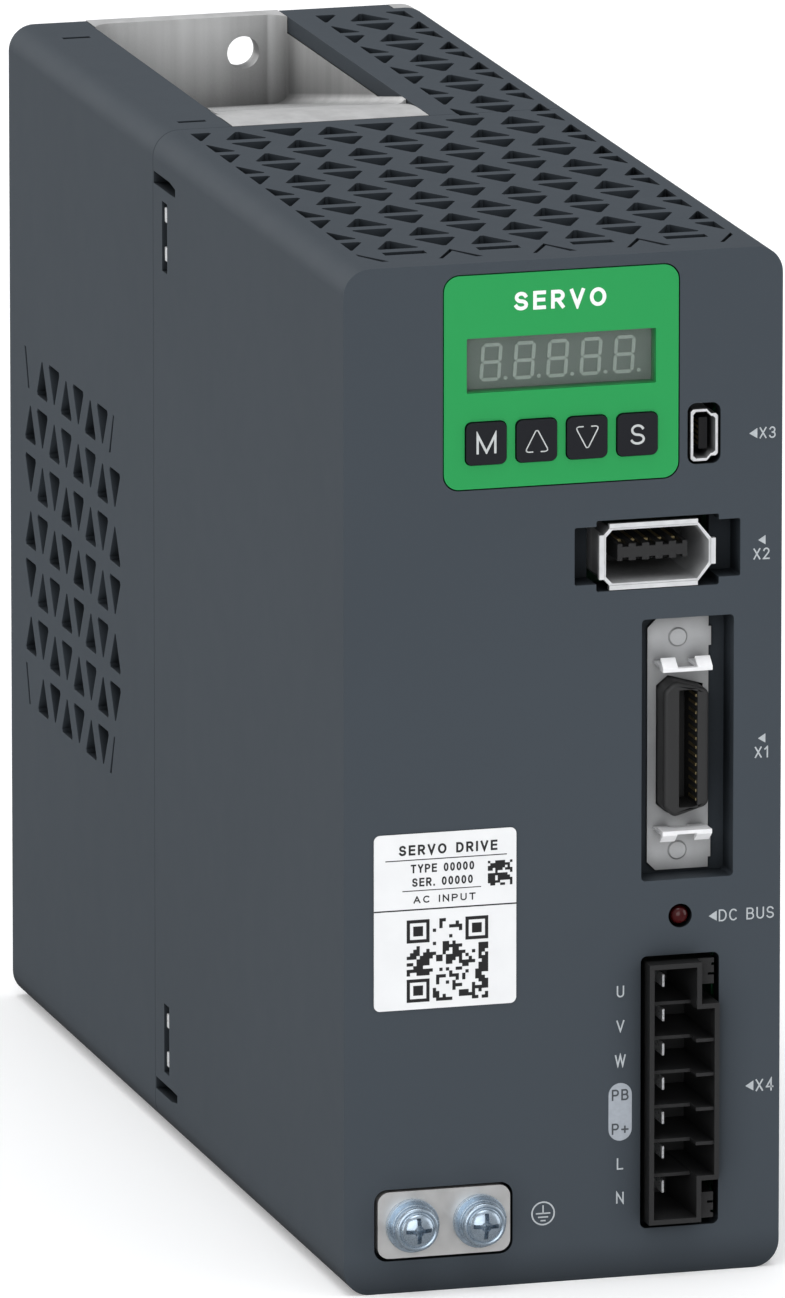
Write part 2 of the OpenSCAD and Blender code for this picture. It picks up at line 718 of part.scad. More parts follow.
// Latch hooks: a folded bar with two prongs that lean back, on legs from the plate
module signal_hooks() {
    plate_face = signal_floor - 0.4;
    color("#eef0f1") translate([0, 0, signal_z]) for (s = [0, 1]) mirror([0, 0, s]) {
        fold_d = s == 0 ? 1.4 : 2.6;
        along_x(signal_x - 3.7, signal_x + 3.7)
            polygon([[-0.4, 11.65], [fold_d, 11.65], [fold_d, 12], [0.2, 12], [0.2, 12.2], [-0.4, 12.2]]);
        for (x = [signal_x - 3.7, signal_x + 1.45])
            along_x(x, x + 2.25) polygon([[-0.4, 12], [-0.4, 12.3], [1.1, 13.55], [1.4, 13.15],
                [0.7, 12.4], [plate_face, 12.4], [plate_face, 12]]);
    }
}
// Tapered plug shroud with a long slot; its left side is the longer one
shroud_d = 0.9;
slot_half = [1.35, 8.6];
slot_x = 18.95;
module shroud_outline(clear = 0) {
    x0 = 15.3 - clear;
    x1 = 22.05 + clear;
    z_mid = 10 + clear;
    z_end = [8.6 + clear, 8.5 + clear];
    polygon([[x0, z_end[0]], [16.9, z_mid], [x1, z_end[1]], [x1, -z_end[1]], [16.9, -z_mid],
        [x0, -z_end[0]]]);
}
module signal_shroud() {
    color("#3d3e3f") difference() {
        union() {
            along_y(shroud_d, 12) translate([0, signal_z]) shroud_outline();
            block(15.3, board_x, 8, 16, signal_z - 10, signal_z + 10);
        }
        along_y(0, 7.5) translate([slot_x, signal_z]) translate([-slot_half[0], -slot_half[1]])
            square(2 * slot_half);
    }
}
module signal_contacts() {
    proud = [0.14, 0.03];                           // on the right and the left wall
    color("#d9c27a") for (i = [-6 : 6], s = [0, 1])
        translate([slot_x, front_y, signal_z + i * signal_pitch]) mirror([s, 0, 0])
            translate([slot_half[0] - proud[s], 1.5, -0.2]) cube([proud[s], 3.4, 0.4]);
}

// ---------- power port ----------
header_x = [12.35, 22.8];
header_half = 19.2;
rim = 0.72;
notch_x = 20.15;
notch_half = 13.05;
module header_outline(inset) {
    polygon([[header_x[0] + inset, inset - header_half], [notch_x - inset, inset - header_half],
        [notch_x - inset, inset - notch_half], [header_x[1] - inset, inset - notch_half],
        [header_x[1] - inset, notch_half - inset], [notch_x - inset, notch_half - inset],
        [notch_x - inset, header_half - inset], [header_x[0] + inset, header_half - inset]]);
}
pin_x = 16.24;
pin_d = 4;
module power_header() {
    color("#3a3a3a") difference() {
        union() {
            difference() {
                along_y(-header_proud, header_floor + 2) translate([0, header_z]) header_outline(0);
                along_y(-header_proud - 1, header_floor)
                    translate([0, header_z]) header_outline(rim);
            }
            // walls between the cells, stepped down on the pin side
            for (i = [-2.5 : 1 : 2.5]) {
                z = header_z + i * power_pitch;
                inner = abs(i) < 2;
                reach = (inner ? header_x[1] : notch_x) - rim + eps;
                block(header_x[0] + rim - eps, reach, 1, header_floor + eps, z - 0.25, z + 0.25);
                if (inner) block(19.4, reach, 0.3 - header_proud, 1 + eps, z - 0.25, z + 0.25);
            }
            // coding blocks in the two notches
            for (s = [0, 1]) translate([0, 0, header_z]) mirror([0, 0, s]) difference() {
                block(notch_x - eps, 22.6, 0, header_floor + 2, 15.4, header_half);
                block(21.7, 23, -1, 4, 16.7, 17.05);
                block(22.2, 23, -1, 4, 18.1, 18.5);
            }
            block(header_x[0], board_x, header_floor + 2 - eps, 21, header_z - 18, header_z + 18);
        }
        for (i = [-3 : 3]) {
            z = header_z + i * power_pitch;
            block(pin_x - 0.25, pin_x + 0.25, header_floor - 1, 19.5, z - 0.95, z + 0.95);
            block(pin_x - 0.25, board_x + 1, 19, 19.5, z - 0.95, z + 0.95);
        }
    }
}
// Flat pins, bent towards the board behind the moulding
module power_pins() {
    color("#e4e6e8") for (i = [-3 : 3]) {
        z = header_z + i * power_pitch;
        block(pin_x - 0.16, pin_x + 0.2, pin_d, 19.45, z - 0.9, z + 0.9);
        block(pin_x - 0.16, board_x, 19.05, 19.45, z - 0.9, z + 0.9);
    }
}
// Charge indicator: a domed lamp on two leads
module charge_lamp() {
    r = 1.5;
    color("#6a1414") {
        translate([lamp_x, front_y + 5.5, lamp_z]) rotate([90, 0, 0]) rotate_extrude()
            polygon(concat([[0, 0], [1.75, 0], [1.75, 1], [r, 1]],
                [for (a = [0 : 15 : 90]) [r * cos(a), 4.3 + r * sin(a)]]));
        for (z = [-0.7, 0.7]) {
            block(lamp_x - 0.25, lamp_x + 0.25, 5.4, 11, lamp_z + z - 0.25, lamp_z + z + 0.25);
            block(lamp_x - 0.25, board_x, 10.5, 11, lamp_z + z - 0.25, lamp_z + z + 0.25);
        }
    }
}

// ---------- earth terminal ----------
washer_t = 0.9;
lock_t = 1.0;
module earth_plate() {
    color("#d3d4d2") difference() {
        union() {
            along_y(0, 2) round_rect(-27.45, -7.75, 5.15, 14.95, 1.7);
            along_y(2 - eps, 6) round_rect(-27.45, -7.75, 6.2, 13.7, 0.5);
        }
        for (x = earth_x) rod_y(-1, 7, x, earth_z, 2.05);
    }
}
module earth_washers() {
    color("#aab4bd") for (x = earth_x) difference() {
        union() {
            rod_y(-washer_t, 0, x, earth_z, 3.9);
            rod_y(-washer_t - lock_t, eps - washer_t, x, earth_z, 3.4);
        }
        rod_y(-4, 1, x, earth_z, 2.15);
    }
}
module earth_screws() {
    head_d = washer_t + lock_t;
    head_h = screw_proud - head_d;
    r = 3.2;
    cross = [4.3, 0.6];
    color("#a9bccb") for (x = earth_x) difference() {
        union() {
            // pan head: a drum with a domed top
            translate([x, front_y - head_d, earth_z]) rotate([90, 0, 0]) rotate_extrude()
                polygon(concat([[0, 0], [r, 0], [r, head_h * 0.55]],
                    [for (a = [15 : 15 : 90])
                        [r - 1 + cos(a), head_h * 0.55 + head_h * 0.45 * sin(a)]],
                    [[0, head_h]]));
            rod_y(-head_d - eps, 7.5, x, earth_z, 1.95);
        }
        for (turn = [0, 90]) translate([x, front_y - screw_proud, earth_z]) rotate([0, turn, 0])
            translate([-cross[0] / 2, -1, -cross[1] / 2]) cube([cross[0], 2.4, cross[1]]);
    }
}
module rating_label() {
    color("#f2f2f0") along_y(-0.12, 0) round_rect(-28.05, -6.93, 41.7, 67.5, 0.9);
}

// ---------- fan ----------
module fan_frame() {
    c = [fan_d, fan_z];
    half = fan_size / 2;
    color("#1f2123") difference() {
        union() {
            difference() {
                block(fan_x0, fan_x1, c[0] - half, c[0] + half, c[1] - half, c[1] + half);
                rod_x(fan_x0 - 1, fan_x1 + 1, c[0], c[1], fan_bore_r);
            }
            for (a = [45 : 90 : 315]) translate([fan_x1 - 2.2, front_y + c[0], c[1]])
                rotate([a, 0, 0]) translate([0, -1.2, 8]) cube([1.8, 2.4, fan_bore_r - 7]);
            rod_x(fan_x1 - 2.5, fan_x1 - 0.1, c[0], c[1], 9.4);
        }
        rod_x(fan_x1 - 3, fan_x1 + 1, c[0], c[1], shaft_r + 0.05);
        for (y = [-fan_hole, fan_hole], z = [-fan_hole, fan_hole]) {
            rod_x(fan_x0 - 1, fan_x1 + 1, c[0] + y, c[1] + z, 1.7);
            rod_x(fan_x0 - 1, fan_x0 + 2.5, c[0] + y, c[1] + z, 3);
        }
    }
}
module fan_rotor() {
    color("#2a2d30") {
        rod_x(fan_x0 + 0.8, fan_x1 - 2.9, fan_d, fan_z, fan_hub_r);
        rod_x(fan_x1 - 3, fan_x1 - 0.2, fan_d, fan_z, shaft_r);
        intersection() {
            for (i = [0 : fan_blades - 1]) translate([fan_x0 + 6.4, front_y + fan_d, fan_z])
                rotate([i * 360 / fan_blades, 0, 0]) rotate([0, 0, 38])
                    translate([-6.5, -0.6, fan_hub_r - 0.6]) cube([13, 1.2, 20]);
            rod_x(fan_x0 + 1.4, fan_x1 - 3.4, fan_d, fan_z, blade_r);
        }
    }
}
module fan_screws() {
    color("#b4b8bb") for (y = [-fan_hole, fan_hole], z = [-fan_hole, fan_hole]) {
        rod_x(fan_x0 + 0.4, fan_x0 + 2.5, fan_d + y, fan_z + z, 2.7);
        rod_x(fan_x0 + 2.4, fan_x1 + 7, fan_d + y, fan_z + z, 1.4);
    }
}

front_housing();
rear_housing();
heatsink();
chassis_screws();
housing_clips();
keypad_panel();
display_window();
display_segments();
display_module();
button_mode();
button_up();
button_down();
button_set();
keypad_board();
key_switches();
keypad_screws();
keypad_link();
control_board();
control_chips();
power_board();
board_standoffs();
board_screws();
usb_shell();
usb_tongue();
usb_contacts();
encoder_shell();
encoder_tongue();
encoder_contacts();
signal_plate();
signal_hooks();
signal_shroud();
signal_contacts();
power_header();
power_pins();
charge_lamp();
earth_plate();
earth_washers();
earth_screws();
rating_label();
bus_capacitors();
charge_relay();
power_module();
rectifier();
fan_frame();
fan_rotor();
fan_screws();
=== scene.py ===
"""Looks of a compact servo drive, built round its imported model. Metres, +Z up, the front panel faces -Y."""
import json
import math
import random

import bmesh
import bpy
from mathutils import Matrix, Vector


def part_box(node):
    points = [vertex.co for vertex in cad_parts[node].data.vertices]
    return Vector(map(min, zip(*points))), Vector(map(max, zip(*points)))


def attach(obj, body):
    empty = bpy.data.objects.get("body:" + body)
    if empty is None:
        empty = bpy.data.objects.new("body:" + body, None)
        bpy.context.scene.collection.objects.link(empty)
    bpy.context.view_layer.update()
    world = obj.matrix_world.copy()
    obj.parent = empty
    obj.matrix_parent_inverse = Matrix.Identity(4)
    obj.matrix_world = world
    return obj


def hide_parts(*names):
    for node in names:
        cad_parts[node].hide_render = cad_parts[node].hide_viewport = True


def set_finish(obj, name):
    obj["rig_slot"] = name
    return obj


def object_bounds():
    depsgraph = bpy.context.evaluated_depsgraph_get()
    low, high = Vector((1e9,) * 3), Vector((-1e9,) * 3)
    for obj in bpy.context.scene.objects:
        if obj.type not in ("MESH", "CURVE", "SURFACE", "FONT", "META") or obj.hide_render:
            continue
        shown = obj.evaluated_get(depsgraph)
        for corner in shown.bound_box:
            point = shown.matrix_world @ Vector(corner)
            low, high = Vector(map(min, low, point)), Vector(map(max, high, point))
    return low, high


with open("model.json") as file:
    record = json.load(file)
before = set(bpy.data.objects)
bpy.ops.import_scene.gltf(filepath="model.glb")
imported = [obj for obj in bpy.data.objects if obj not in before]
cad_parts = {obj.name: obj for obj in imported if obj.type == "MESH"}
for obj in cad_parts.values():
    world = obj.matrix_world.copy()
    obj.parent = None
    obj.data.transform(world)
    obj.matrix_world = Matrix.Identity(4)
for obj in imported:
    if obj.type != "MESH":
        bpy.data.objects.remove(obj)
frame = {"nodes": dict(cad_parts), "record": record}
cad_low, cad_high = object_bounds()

MM = 0.001
PANEL_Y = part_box("front_housing")[0].y            # outer face of the front panel
REAR_Y = cad_high.y
TOP_Z = cad_high.z
HALF_W = cad_high.x
DRIVE = "drive"                                   # the body that everything fixed rides on
FINE = 0.002 * MM                                 # depth of the faintest relief


# ---------- materials ----------
class Surface:
    """A principled material with short calls for procedural detail in object coordinates."""

    def __init__(self, name, colour, roughness, metallic=0.0, **sockets):
        self.material = bpy.data.materials.new(name)
        self.material.use_nodes = True
        self.nodes = self.material.node_tree.nodes
        self.links = self.material.node_tree.links
        self.shader = self.nodes["Principled BSDF"]
        self.shader.inputs["Base Color"].default_value = (*colour, 1)
        self.shader.inputs["Roughness"].default_value = roughness
        self.shader.inputs["Metallic"].default_value = metallic
        for socket, value in sockets.items():
            self.shader.inputs[socket.replace("_", " ")].default_value = value
        self.place = self.nodes.new("ShaderNodeTexCoord").outputs["Object"]
        self.colour = colour
        self.height = None

    def coordinate(self, axis):
        split = self.nodes.new("ShaderNodeSeparateXYZ")
        self.links.new(self.place, split.inputs["Vector"])
        return split.outputs["XYZ".index(axis)]

    def calculate(self, operation, first, second):
        """A maths node on a value and a second value or number."""
        node = self.nodes.new("ShaderNodeMath")
        node.operation = operation
        self.links.new(first, node.inputs[0])
        if isinstance(second, float):
            node.inputs[1].default_value = second
        else:
            self.links.new(second, node.inputs[1])
        return node.outputs["Value"]

    def tint_input(self, socket):
        """Passes the base colour, or whatever makes it so far, on to a socket."""
        made_by = self.shader.inputs["Base Color"].links
        if made_by:
            self.links.new(made_by[0].from_socket, socket)
        else:
            socket.default_value = (*self.colour, 1)

    def noise(self, size, detail=2.0, stretch=(1, 1, 1)):
        """Noise whose features are about size metres, longer along an axis by its stretch."""
        mapping = self.nodes.new("ShaderNodeMapping")
        mapping.inputs["Scale"].default_value = [1 / (size * s) for s in stretch]
        self.links.new(self.place, mapping.inputs["Vector"])
        texture = self.nodes.new("ShaderNodeTexNoise")
        texture.inputs["Scale"].default_value = 1.0
        texture.inputs["Detail"].default_value = detail
        self.links.new(mapping.outputs["Vector"], texture.inputs["Vector"])
        return texture.outputs["Fac"]

    def cell_edges(self, size):
        """The distance to the nearest border between irregular cells, 0 on it."""
        texture = self.nodes.new("ShaderNodeTexVoronoi")
        texture.feature = "DISTANCE_TO_EDGE"
        texture.inputs["Scale"].default_value = 1 / size
        self.links.new(self.place, texture.inputs["Vector"])
        return texture.outputs["Distance"]

    def along(self, axis, low, high):
        """0 at low and 1 at high along an axis of the object."""
        return self.remap(self.coordinate(axis), (low, high), (0, 1))

    def remap(self, value, source, target, clamp=True):
        """The value with one range stretched over another, and held to it unless clamp is off."""
        node = self.nodes.new("ShaderNodeMapRange")
        node.clamp = clamp
        for socket, number in zip(("From Min", "From Max", "To Min", "To Max"), (*source, *target)):
            node.inputs[socket].default_value = number
        self.links.new(value, node.inputs["Value"])
        return node.outputs["Result"]

    def shades(self, value, *stops):
        """Colours the surface by value: stops are (place, colour)."""
        ramp = self.nodes.new("ShaderNodeValToRGB")
        elements = ramp.color_ramp.elements
        while len(elements) < len(stops):
            elements.new(0.5)
        for element, (place, colour) in zip(elements, stops):
            element.position = place
            element.color = (*colour, 1)
        self.links.new(value, ramp.inputs["Fac"])
        self.links.new(ramp.outputs["Color"], self.shader.inputs["Base Color"])
        return self

    def stripes(self, axis, start, pitch, width):
        """1 on lines across an axis, pitch apart from start on, and 0 between them."""
        turns = self.remap(self.coordinate(axis), (start, start + pitch), (0, 1), clamp=False)
        fold = self.calculate("PINGPONG", turns, 0.5)
        return self.remap(fold, (width / pitch / 2, width / pitch * 0.9), (1, 0))

    def within(self, value, *limits):
        """The value inside a box, 0 outside it: each limit is (axis, low, high, fade)."""
        for axis, low, high, fade in limits:
            for edge, inward in ((low, fade), (high, -fade)):
                mask = self.along(axis, *sorted((edge, edge + inward)))
                if inward < 0:
                    mask = self.remap(mask, (0, 1), (1, 0))
                value = self.calculate("MULTIPLY", value, mask)
        return value

    def paint_shade_over(self, value, colour):
        """Lays a darker colour, painted shade, over the surface where value is 1."""
        mix = self.nodes.new("ShaderNodeMix")
        mix.data_type = "RGBA"

        def socket(sockets, name, kind="RGBA"):
            return next(s for s in sockets if s.name == name and s.type == kind)

        self.tint_input(socket(mix.inputs, "A"))
        socket(mix.inputs, "B").default_value = (*colour, 1)
        self.links.new(value, socket(mix.inputs, "Factor", "VALUE"))
        self.links.new(socket(mix.outputs, "Result"), self.shader.inputs["Base Color"])
        return self

    def drift(self, value, amount, source=(0.35, 0.65)):
        """Makes the colour wander a little darker and lighter with value."""
        dark = [c * (1 - amount) for c in self.colour]
        light = [min(c * (1 + amount), 1) for c in self.colour]
        return self.shades(value, (source[0], dark), (source[1], light))

    def gloss(self, value, low, high, source=(0.3, 0.7)):
        """Makes the roughness wander between low and high with value."""
        self.links.new(self.remap(value, source, (low, high)), self.shader.inputs["Roughness"])
        return self

    def paint_recess_shade(self, reach):
        """Painted shade in recesses: the colour darkens where walls stand closer than reach."""
        shade = self.nodes.new("ShaderNodeAmbientOcclusion")
        shade.samples = 8
        shade.inputs["Distance"].default_value = reach
        self.tint_input(shade.inputs["Color"])
        self.links.new(shade.outputs["Color"], self.shader.inputs["Base Color"])
        return self

    def relief(self, value, depth):
        """Fine surface relief of that depth in metres, on top of any before it."""
        bump = self.nodes.new("ShaderNodeBump")
        bump.inputs["Strength"].default_value = 1.0
        bump.inputs["Distance"].default_value = depth
        self.links.new(value, bump.inputs["Height"])
        if self.height:
            self.links.new(self.height, bump.inputs["Normal"])
        self.height = bump.outputs["Normal"]
        self.links.new(self.height, self.shader.inputs["Normal"])
        return self


def moulding(name, colour, roughness=0.52, grain=0.12 * MM, depth=0.0035 * MM, shade=0.0, specular=0.3):
    """Injection-moulded plastic with a spark-eroded texture of that grain and depth. shade is the width
    of the recesses that get painted shade."""
    s = Surface(name, colour, roughness, Specular_IOR_Level=specular)
    s.drift(s.noise(50 * MM, 2), 0.015)
    s.gloss(s.noise(6 * MM, 2), roughness - 0.015, roughness + 0.02)
    # painted shade: the colour darkens in recesses narrower than shade
    if shade:
        s.paint_recess_shade(shade)
    return s.relief(s.noise(grain, 2), depth).material


def plated(name, colour, roughness, drift=0.06, size=1.2 * MM, metallic=1.0, shade=0.0):
    """Plated or blasted metal, its skin cloudy over that size. A lower metallic stands for a duller coat."""
    s = Surface(name, colour, roughness, metallic)
    s.drift(s.noise(size, 3), drift)
    # painted shade: the colour darkens in recesses narrower than shade
    if shade:
        s.paint_recess_shade(shade)
    s.gloss(s.noise(size * 0.5, 2), max(roughness - 0.06, 0.03), roughness + 0.08)
    return s.relief(s.noise(size * 0.12, 2), FINE).material


def board_material():
    """Solder mask over copper areas and tracks."""
    s = Surface("solder_mask", (0.012, 0.105, 0.042), 0.32, Coat_Weight=0.4, Coat_Roughness=0.15)
    tracks = s.cell_edges(3.1 * MM)
    s.shades(tracks, (0.02, (0.02, 0.16, 0.07)), (0.05, (0.010, 0.085, 0.034)))
    return s.relief(s.remap(tracks, (0.02, 0.05), (1, 0)), 0.03 * MM).material


def printed_film():
    """White label film with a slight tooth."""
    s = Surface("label_film", (0.77, 0.775, 0.78), 0.45, Specular_IOR_Level=0.35)
    s.drift(s.noise(6 * MM, 3), 0.02)
    return s.relief(s.noise(0.3 * MM, 2), FINE).material


def ink(name, colour, roughness=0.5):
    """Screen-printed ink: even, with a faint mottle where it lies on the texture beneath."""
    s = Surface(name, colour, roughness)
    s.drift(s.noise(0.7 * MM, 3), 0.05)
    return s.relief(s.noise(0.15 * MM, 2), FINE).material


def window_material():
    """Clear tinted display window."""
    s = Surface("tinted_window", (0.17, 0.20, 0.18), 0.14, Alpha=0.14, Specular_IOR_Level=0.3)
    s.drift(s.noise(10 * MM, 2), 0.04)
    return s.gloss(s.noise(2 * MM, 2), 0.12, 0.18).material


def lens_material():
    """Dark red moulded lens."""
    s = Surface("red_lens", (0.042, 0.003, 0.0035), 0.2, Specular_IOR_Level=0.3)
    s.drift(s.noise(1.5 * MM, 2), 0.12)
    # painted shade: the lens colour darkens deep in the lamp's hole
    s.paint_recess_shade(3 * MM)
    return s.gloss(s.noise(0.6 * MM, 2), 0.16, 0.24).material


def milled_material():
    """Milled aluminium with brush lines down the plate, painted shade in its hollows and painted shade in the
    grooves across the ramps.
    """
    s = Surface("milled_aluminium", (0.62, 0.62, 0.615), 0.42, 0.55)
    lines = s.noise(0.4 * MM, 3, (1, 1, 90))
    s.drift(s.noise(2.8 * MM, 3, (1, 1.5, 40)), 0.08)
    # painted shade: the colour darkens in the hollows of the scoop
    s.paint_recess_shade(12 * MM)
    # painted shade: dark grey lines along the grooves across the ramps
    pitch = 8 * MM
    last_groove = REAR_Y - 6.6 * MM
    start = last_groove - 6 * pitch
    grooves = s.stripes("Y", start, pitch, 0.9 * MM)
    across = ("X", -20.2 * MM, 5.5 * MM, 1.5 * MM)
    along = ("Y", start + pitch / 2, start + 6.4 * pitch, 0.5 * MM)
    s.paint_shade_over(s.within(grooves, across, along), (0.14, 0.14, 0.14))
    s.gloss(lines, 0.38, 0.46)
    return s.relief(lines, 0.0012 * MM).material


def paint_slots():
    """One material for each of the record's material slots."""
    shell = (0.0535, 0.064, 0.0755)
    return {
        "front_shell": moulding("front_shell_plastic", shell, 0.55, shade=6 * MM, specular=0.06),
        "rear_shell": moulding("rear_shell_plastic", shell, 0.55, shade=6 * MM, specular=0.06),
        "cast_aluminium": milled_material(),
        "zinc_screw": plated("blue_zinc", (0.40, 0.48, 0.56), 0.27, 0.06, 1.6 * MM, 0.85),
        "clip_steel": plated("spring_steel", (0.80, 0.81, 0.82), 0.3, metallic=0.3),
        "green_panel": moulding("green_plastic", (0.0125, 0.305, 0.074), 0.42, 0.2 * MM, FINE),
        "window": window_material(),
        "segments": ink("segment_plastic", (0.36, 0.42, 0.38)),
        "display_body": moulding("display_face", (0.128, 0.158, 0.142), 0.5, 0.3 * MM, FINE),
        "key_cap": moulding("key_plastic", (0.0075, 0.0085, 0.0125), 0.45, 0.2 * MM, FINE),
        "circuit_board": board_material(),
        "black_moulding": moulding("black_plastic", (0.008, 0.008, 0.009), 0.42),
        "chip": moulding("chip_epoxy", (0.014, 0.014, 0.016), 0.55, 0.15 * MM, 0.006 * MM),
        "brass": plated("turned_brass", (0.72, 0.50, 0.20), 0.25),
        "connector_shell": plated("tin_plated_shell", (0.80, 0.81, 0.82), 0.36, 0.04, 2 * MM, 0.45, 5 * MM),
        "gold_contact": plated("gold_flash", (0.52, 0.42, 0.22), 0.4, 0.05, 1 * MM),
        "zinc_plate": plated("blasted_zinc", (0.60, 0.605, 0.61), 0.46, 0.05, 3 * MM, 0.5, 4 * MM),
        "white_latch": plated("bright_latch", (0.86, 0.86, 0.87), 0.35, 0.03, 2 * MM, 0.15),
        "grey_moulding": moulding("grey_plastic", (0.027, 0.027, 0.0275), 0.48, shade=3 * MM),
        "power_moulding": moulding("header_plastic", (0.021, 0.021, 0.0215), 0.42, shade=3 * MM),
        "tin_pin": plated("tinned_pin", (0.86, 0.87, 0.88), 0.3, 0.04, 1 * MM, 0.4),
        "red_lens": lens_material(),
        "earth_metal": plated("satin_plate", (0.66, 0.655, 0.645), 0.4, 0.04, 4 * MM, 0.75),
        "label": printed_film(),
        "capacitor_sleeve": moulding("shrink_sleeve", (0.0021, 0.0023, 0.0028), 0.28, 2 * MM, 0.01 * MM),
        "relay_case": moulding("relay_plastic", (0.60, 0.55, 0.42), 0.4),
        "fan_plastic": moulding("fan_plastic", (0.012, 0.013, 0.014), 0.4),
    }


finishes = paint_slots()
slot_of = {part["node"]: part["material_slot"] for part in frame["record"]["subparts"]}
body_of = {node: body for body, nodes in frame["record"]["behaviour"]["bodies"].items() for node in nodes}


# ---------- pieces ----------
def add_piece(name, mesh, slot, body=DRIVE, material=None, stands_for=()):
    """Puts a mesh in the scene as a piece that rides on a body."""
    piece = bpy.data.objects.new(name, mesh)
    bpy.context.scene.collection.objects.link(piece)
    mesh.materials.clear()
    mesh.materials.append(material or finishes[slot])
    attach(piece, body)
    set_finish(piece, slot)
    if stands_for:
        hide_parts(*stands_for)
    return piece


def sharpen(bm, angle):
    """Smooth shading, but for edges that turn by more than angle degrees."""
    for edge in bm.edges:
        edge.smooth = edge.calc_face_angle(0) < math.radians(angle)
    for face in bm.faces:
        face.smooth = True


def mesh_from(bm, name):
    mesh = bpy.data.meshes.new(name)
    bm.to_mesh(mesh)
    bm.free()
    return mesh


def flat_regions(bm, tilt=math.radians(0.3)):
    """For each face, the flat region it is part of: its number, its normal and its area."""
    region_of = {}
    for first in bm.faces:
        if first in region_of:
            continue
        region = {"normal": Vector(), "area": 0.0}
        region_of[first] = region
        reached = [first]
        while reached:
            face = reached.pop()
            size = face.calc_area()
            region["normal"] += face.normal * size
            region["area"] += size
            for edge in face.edges:
                if edge.smooth and edge.calc_face_angle(9) < tilt:
                    for other in edge.link_faces:
                        if other not in region_of:
                            region_of[other] = region
                            reached.append(other)
        region["normal"].normalize()
    return region_of


SOFT_TURN = 0.6                                   # cosine of the widest turn that is shaded over


def even_normals(mesh):
    """Shades each corner by the flat regions that meet there with no sharp edge between them. The largest
    counts most, so that flat faces look flat right up to their rounded edges."""
    bm = bmesh.new()
    bm.from_mesh(mesh)
    region_of = flat_regions(bm)
    normals = {}
    for vert in bm.verts:
        loops = {loop.face: loop for loop in vert.link_loops}
        while loops:
            face, loop = loops.popitem()
            fan, reached = [loop], [face]
            while reached:
                face = reached.pop()
                for edge in face.edges:
                    if vert in edge.verts and edge.smooth and len(edge.link_faces) == 2:
                        for other in edge.link_faces:
                            if other in loops:
                                fan.append(loops.pop(other))
                                reached.append(other)
            met = {id(region_of[loop.face]): region_of[loop.face] for loop in fan}.values()
            for loop in fan:
                own = region_of[loop.face]
                near = [flat for flat in met if flat["normal"].dot(own["normal"]) > SOFT_TURN or flat is own]
                largest = max(flat["area"] for flat in near) or 1
                normal = sum((flat["normal"] * (flat["area"] / largest) ** 2 for flat in near), Vector())
                normals[loop] = normal.normalized()
    mesh.normals_split_custom_set([normals[loop] for face in bm.faces for loop in face.loops])
    bm.free()


def settle(pieces):
    """Makes the pieces' modifiers part of their meshes and evens out their shading."""
    graph = bpy.context.evaluated_depsgraph_get()
    settled = [(piece, bpy.data.meshes.new_from_object(piece.evaluated_get(graph))) for piece in pieces]
    for piece, mesh in settled:
        piece.modifiers.clear()
        piece.data, old = mesh, piece.data
        bpy.data.meshes.remove(old)
        even_normals(mesh)


def cad_copy(node):
    """The CAD node's surface as a bmesh, its facets merged into flat faces."""
    source = frame["nodes"][node].data
    mesh = bpy.data.meshes.new("scratch")
    mesh.from_pydata([v.co for v in source.vertices], [], [list(p.vertices) for p in source.polygons])
    bm = bmesh.new()
    bm.from_mesh(mesh)
    bpy.data.meshes.remove(mesh)
    bmesh.ops.remove_doubles(bm, verts=bm.verts, dist=1e-6)
    bmesh.ops.dissolve_limit(bm, angle_limit=math.radians(0.5), verts=bm.verts, edges=bm.edges)
    bmesh.ops.triangulate(bm, faces=[face for face in bm.faces if len(face.verts) > 4])
    return bm


def clear_back(bm):
    """Draws the window's back face off the digits that it touches, so that the two don't flicker."""
    digits_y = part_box("display_segments")[0].y
    for vert in bm.verts:
        if vert.co.y > digits_y - 0.01 * MM:
            vert.co.y = digits_y - 0.05 * MM


def finish_node(node, rounding, segments=2, crease=math.radians(28)):
    """Shows a CAD node with its outer edges rounded. rounding is a width in metres, or a function that
    gives the width for the middle of an edge, 0 for none."""
    bm = cad_copy(node)
    if node == "display_window":
        clear_back(bm)
    width_at = rounding if callable(rounding) else lambda middle: rounding
    layer = bm.edges.layers.float.new("bevel_weight_edge")
    widths = {}
    for edge in bm.edges:
        edge.smooth = True
        if len(edge.link_faces) != 2 or edge.calc_face_angle(0) < crease:
            continue
        middle = (edge.verts[0].co + edge.verts[1].co) / 2
        width = width_at(middle) if edge.is_convex else 0
        if width:
            widths[edge] = width
        else:
            edge.smooth = False
    widest = max(widths.values(), default=0)
    for edge, width in widths.items():
        edge[layer] = width / widest
    for face in bm.faces:
        face.smooth = True
    name = node + "_finished"
    piece = add_piece(name, mesh_from(bm, name), slot_of[node], body_of[node], stands_for=[node])
    if widest:
        bevel = piece.modifiers.new("rounding", "BEVEL")
        bevel.width = widest
        bevel.segments = segments
        bevel.limit_method = "WEIGHT"
        bevel.use_clamp_overlap = True
        bevel.loop_slide = False
        bevel.miter_outer = "MITER_ARC"
    return piece


# the recesses round the signal and encoder connectors lie between these heights
RECESS_Z = (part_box("signal_plate")[0].z - 1 * MM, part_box("encoder_shell")[1].z + 1 * MM)


def shell_rounding(middle):
    """Roundings of the two shells: broad at the front rim, soft at the recesses, fine elsewhere."""
    slack = 0.02 * MM
    on_outline = (abs(middle.x) > HALF_W - slack or not slack <= middle.z <= TOP_Z - slack
                  or on_rounded_corner(middle))
    if middle.y < PANEL_Y + slack:
        if on_outline:
            return 0.9 * MM
        return 0.45 * MM if RECESS_Z[0] < middle.z < RECESS_Z[1] else 0.18 * MM
    return 0.1 * MM if on_outline else 0


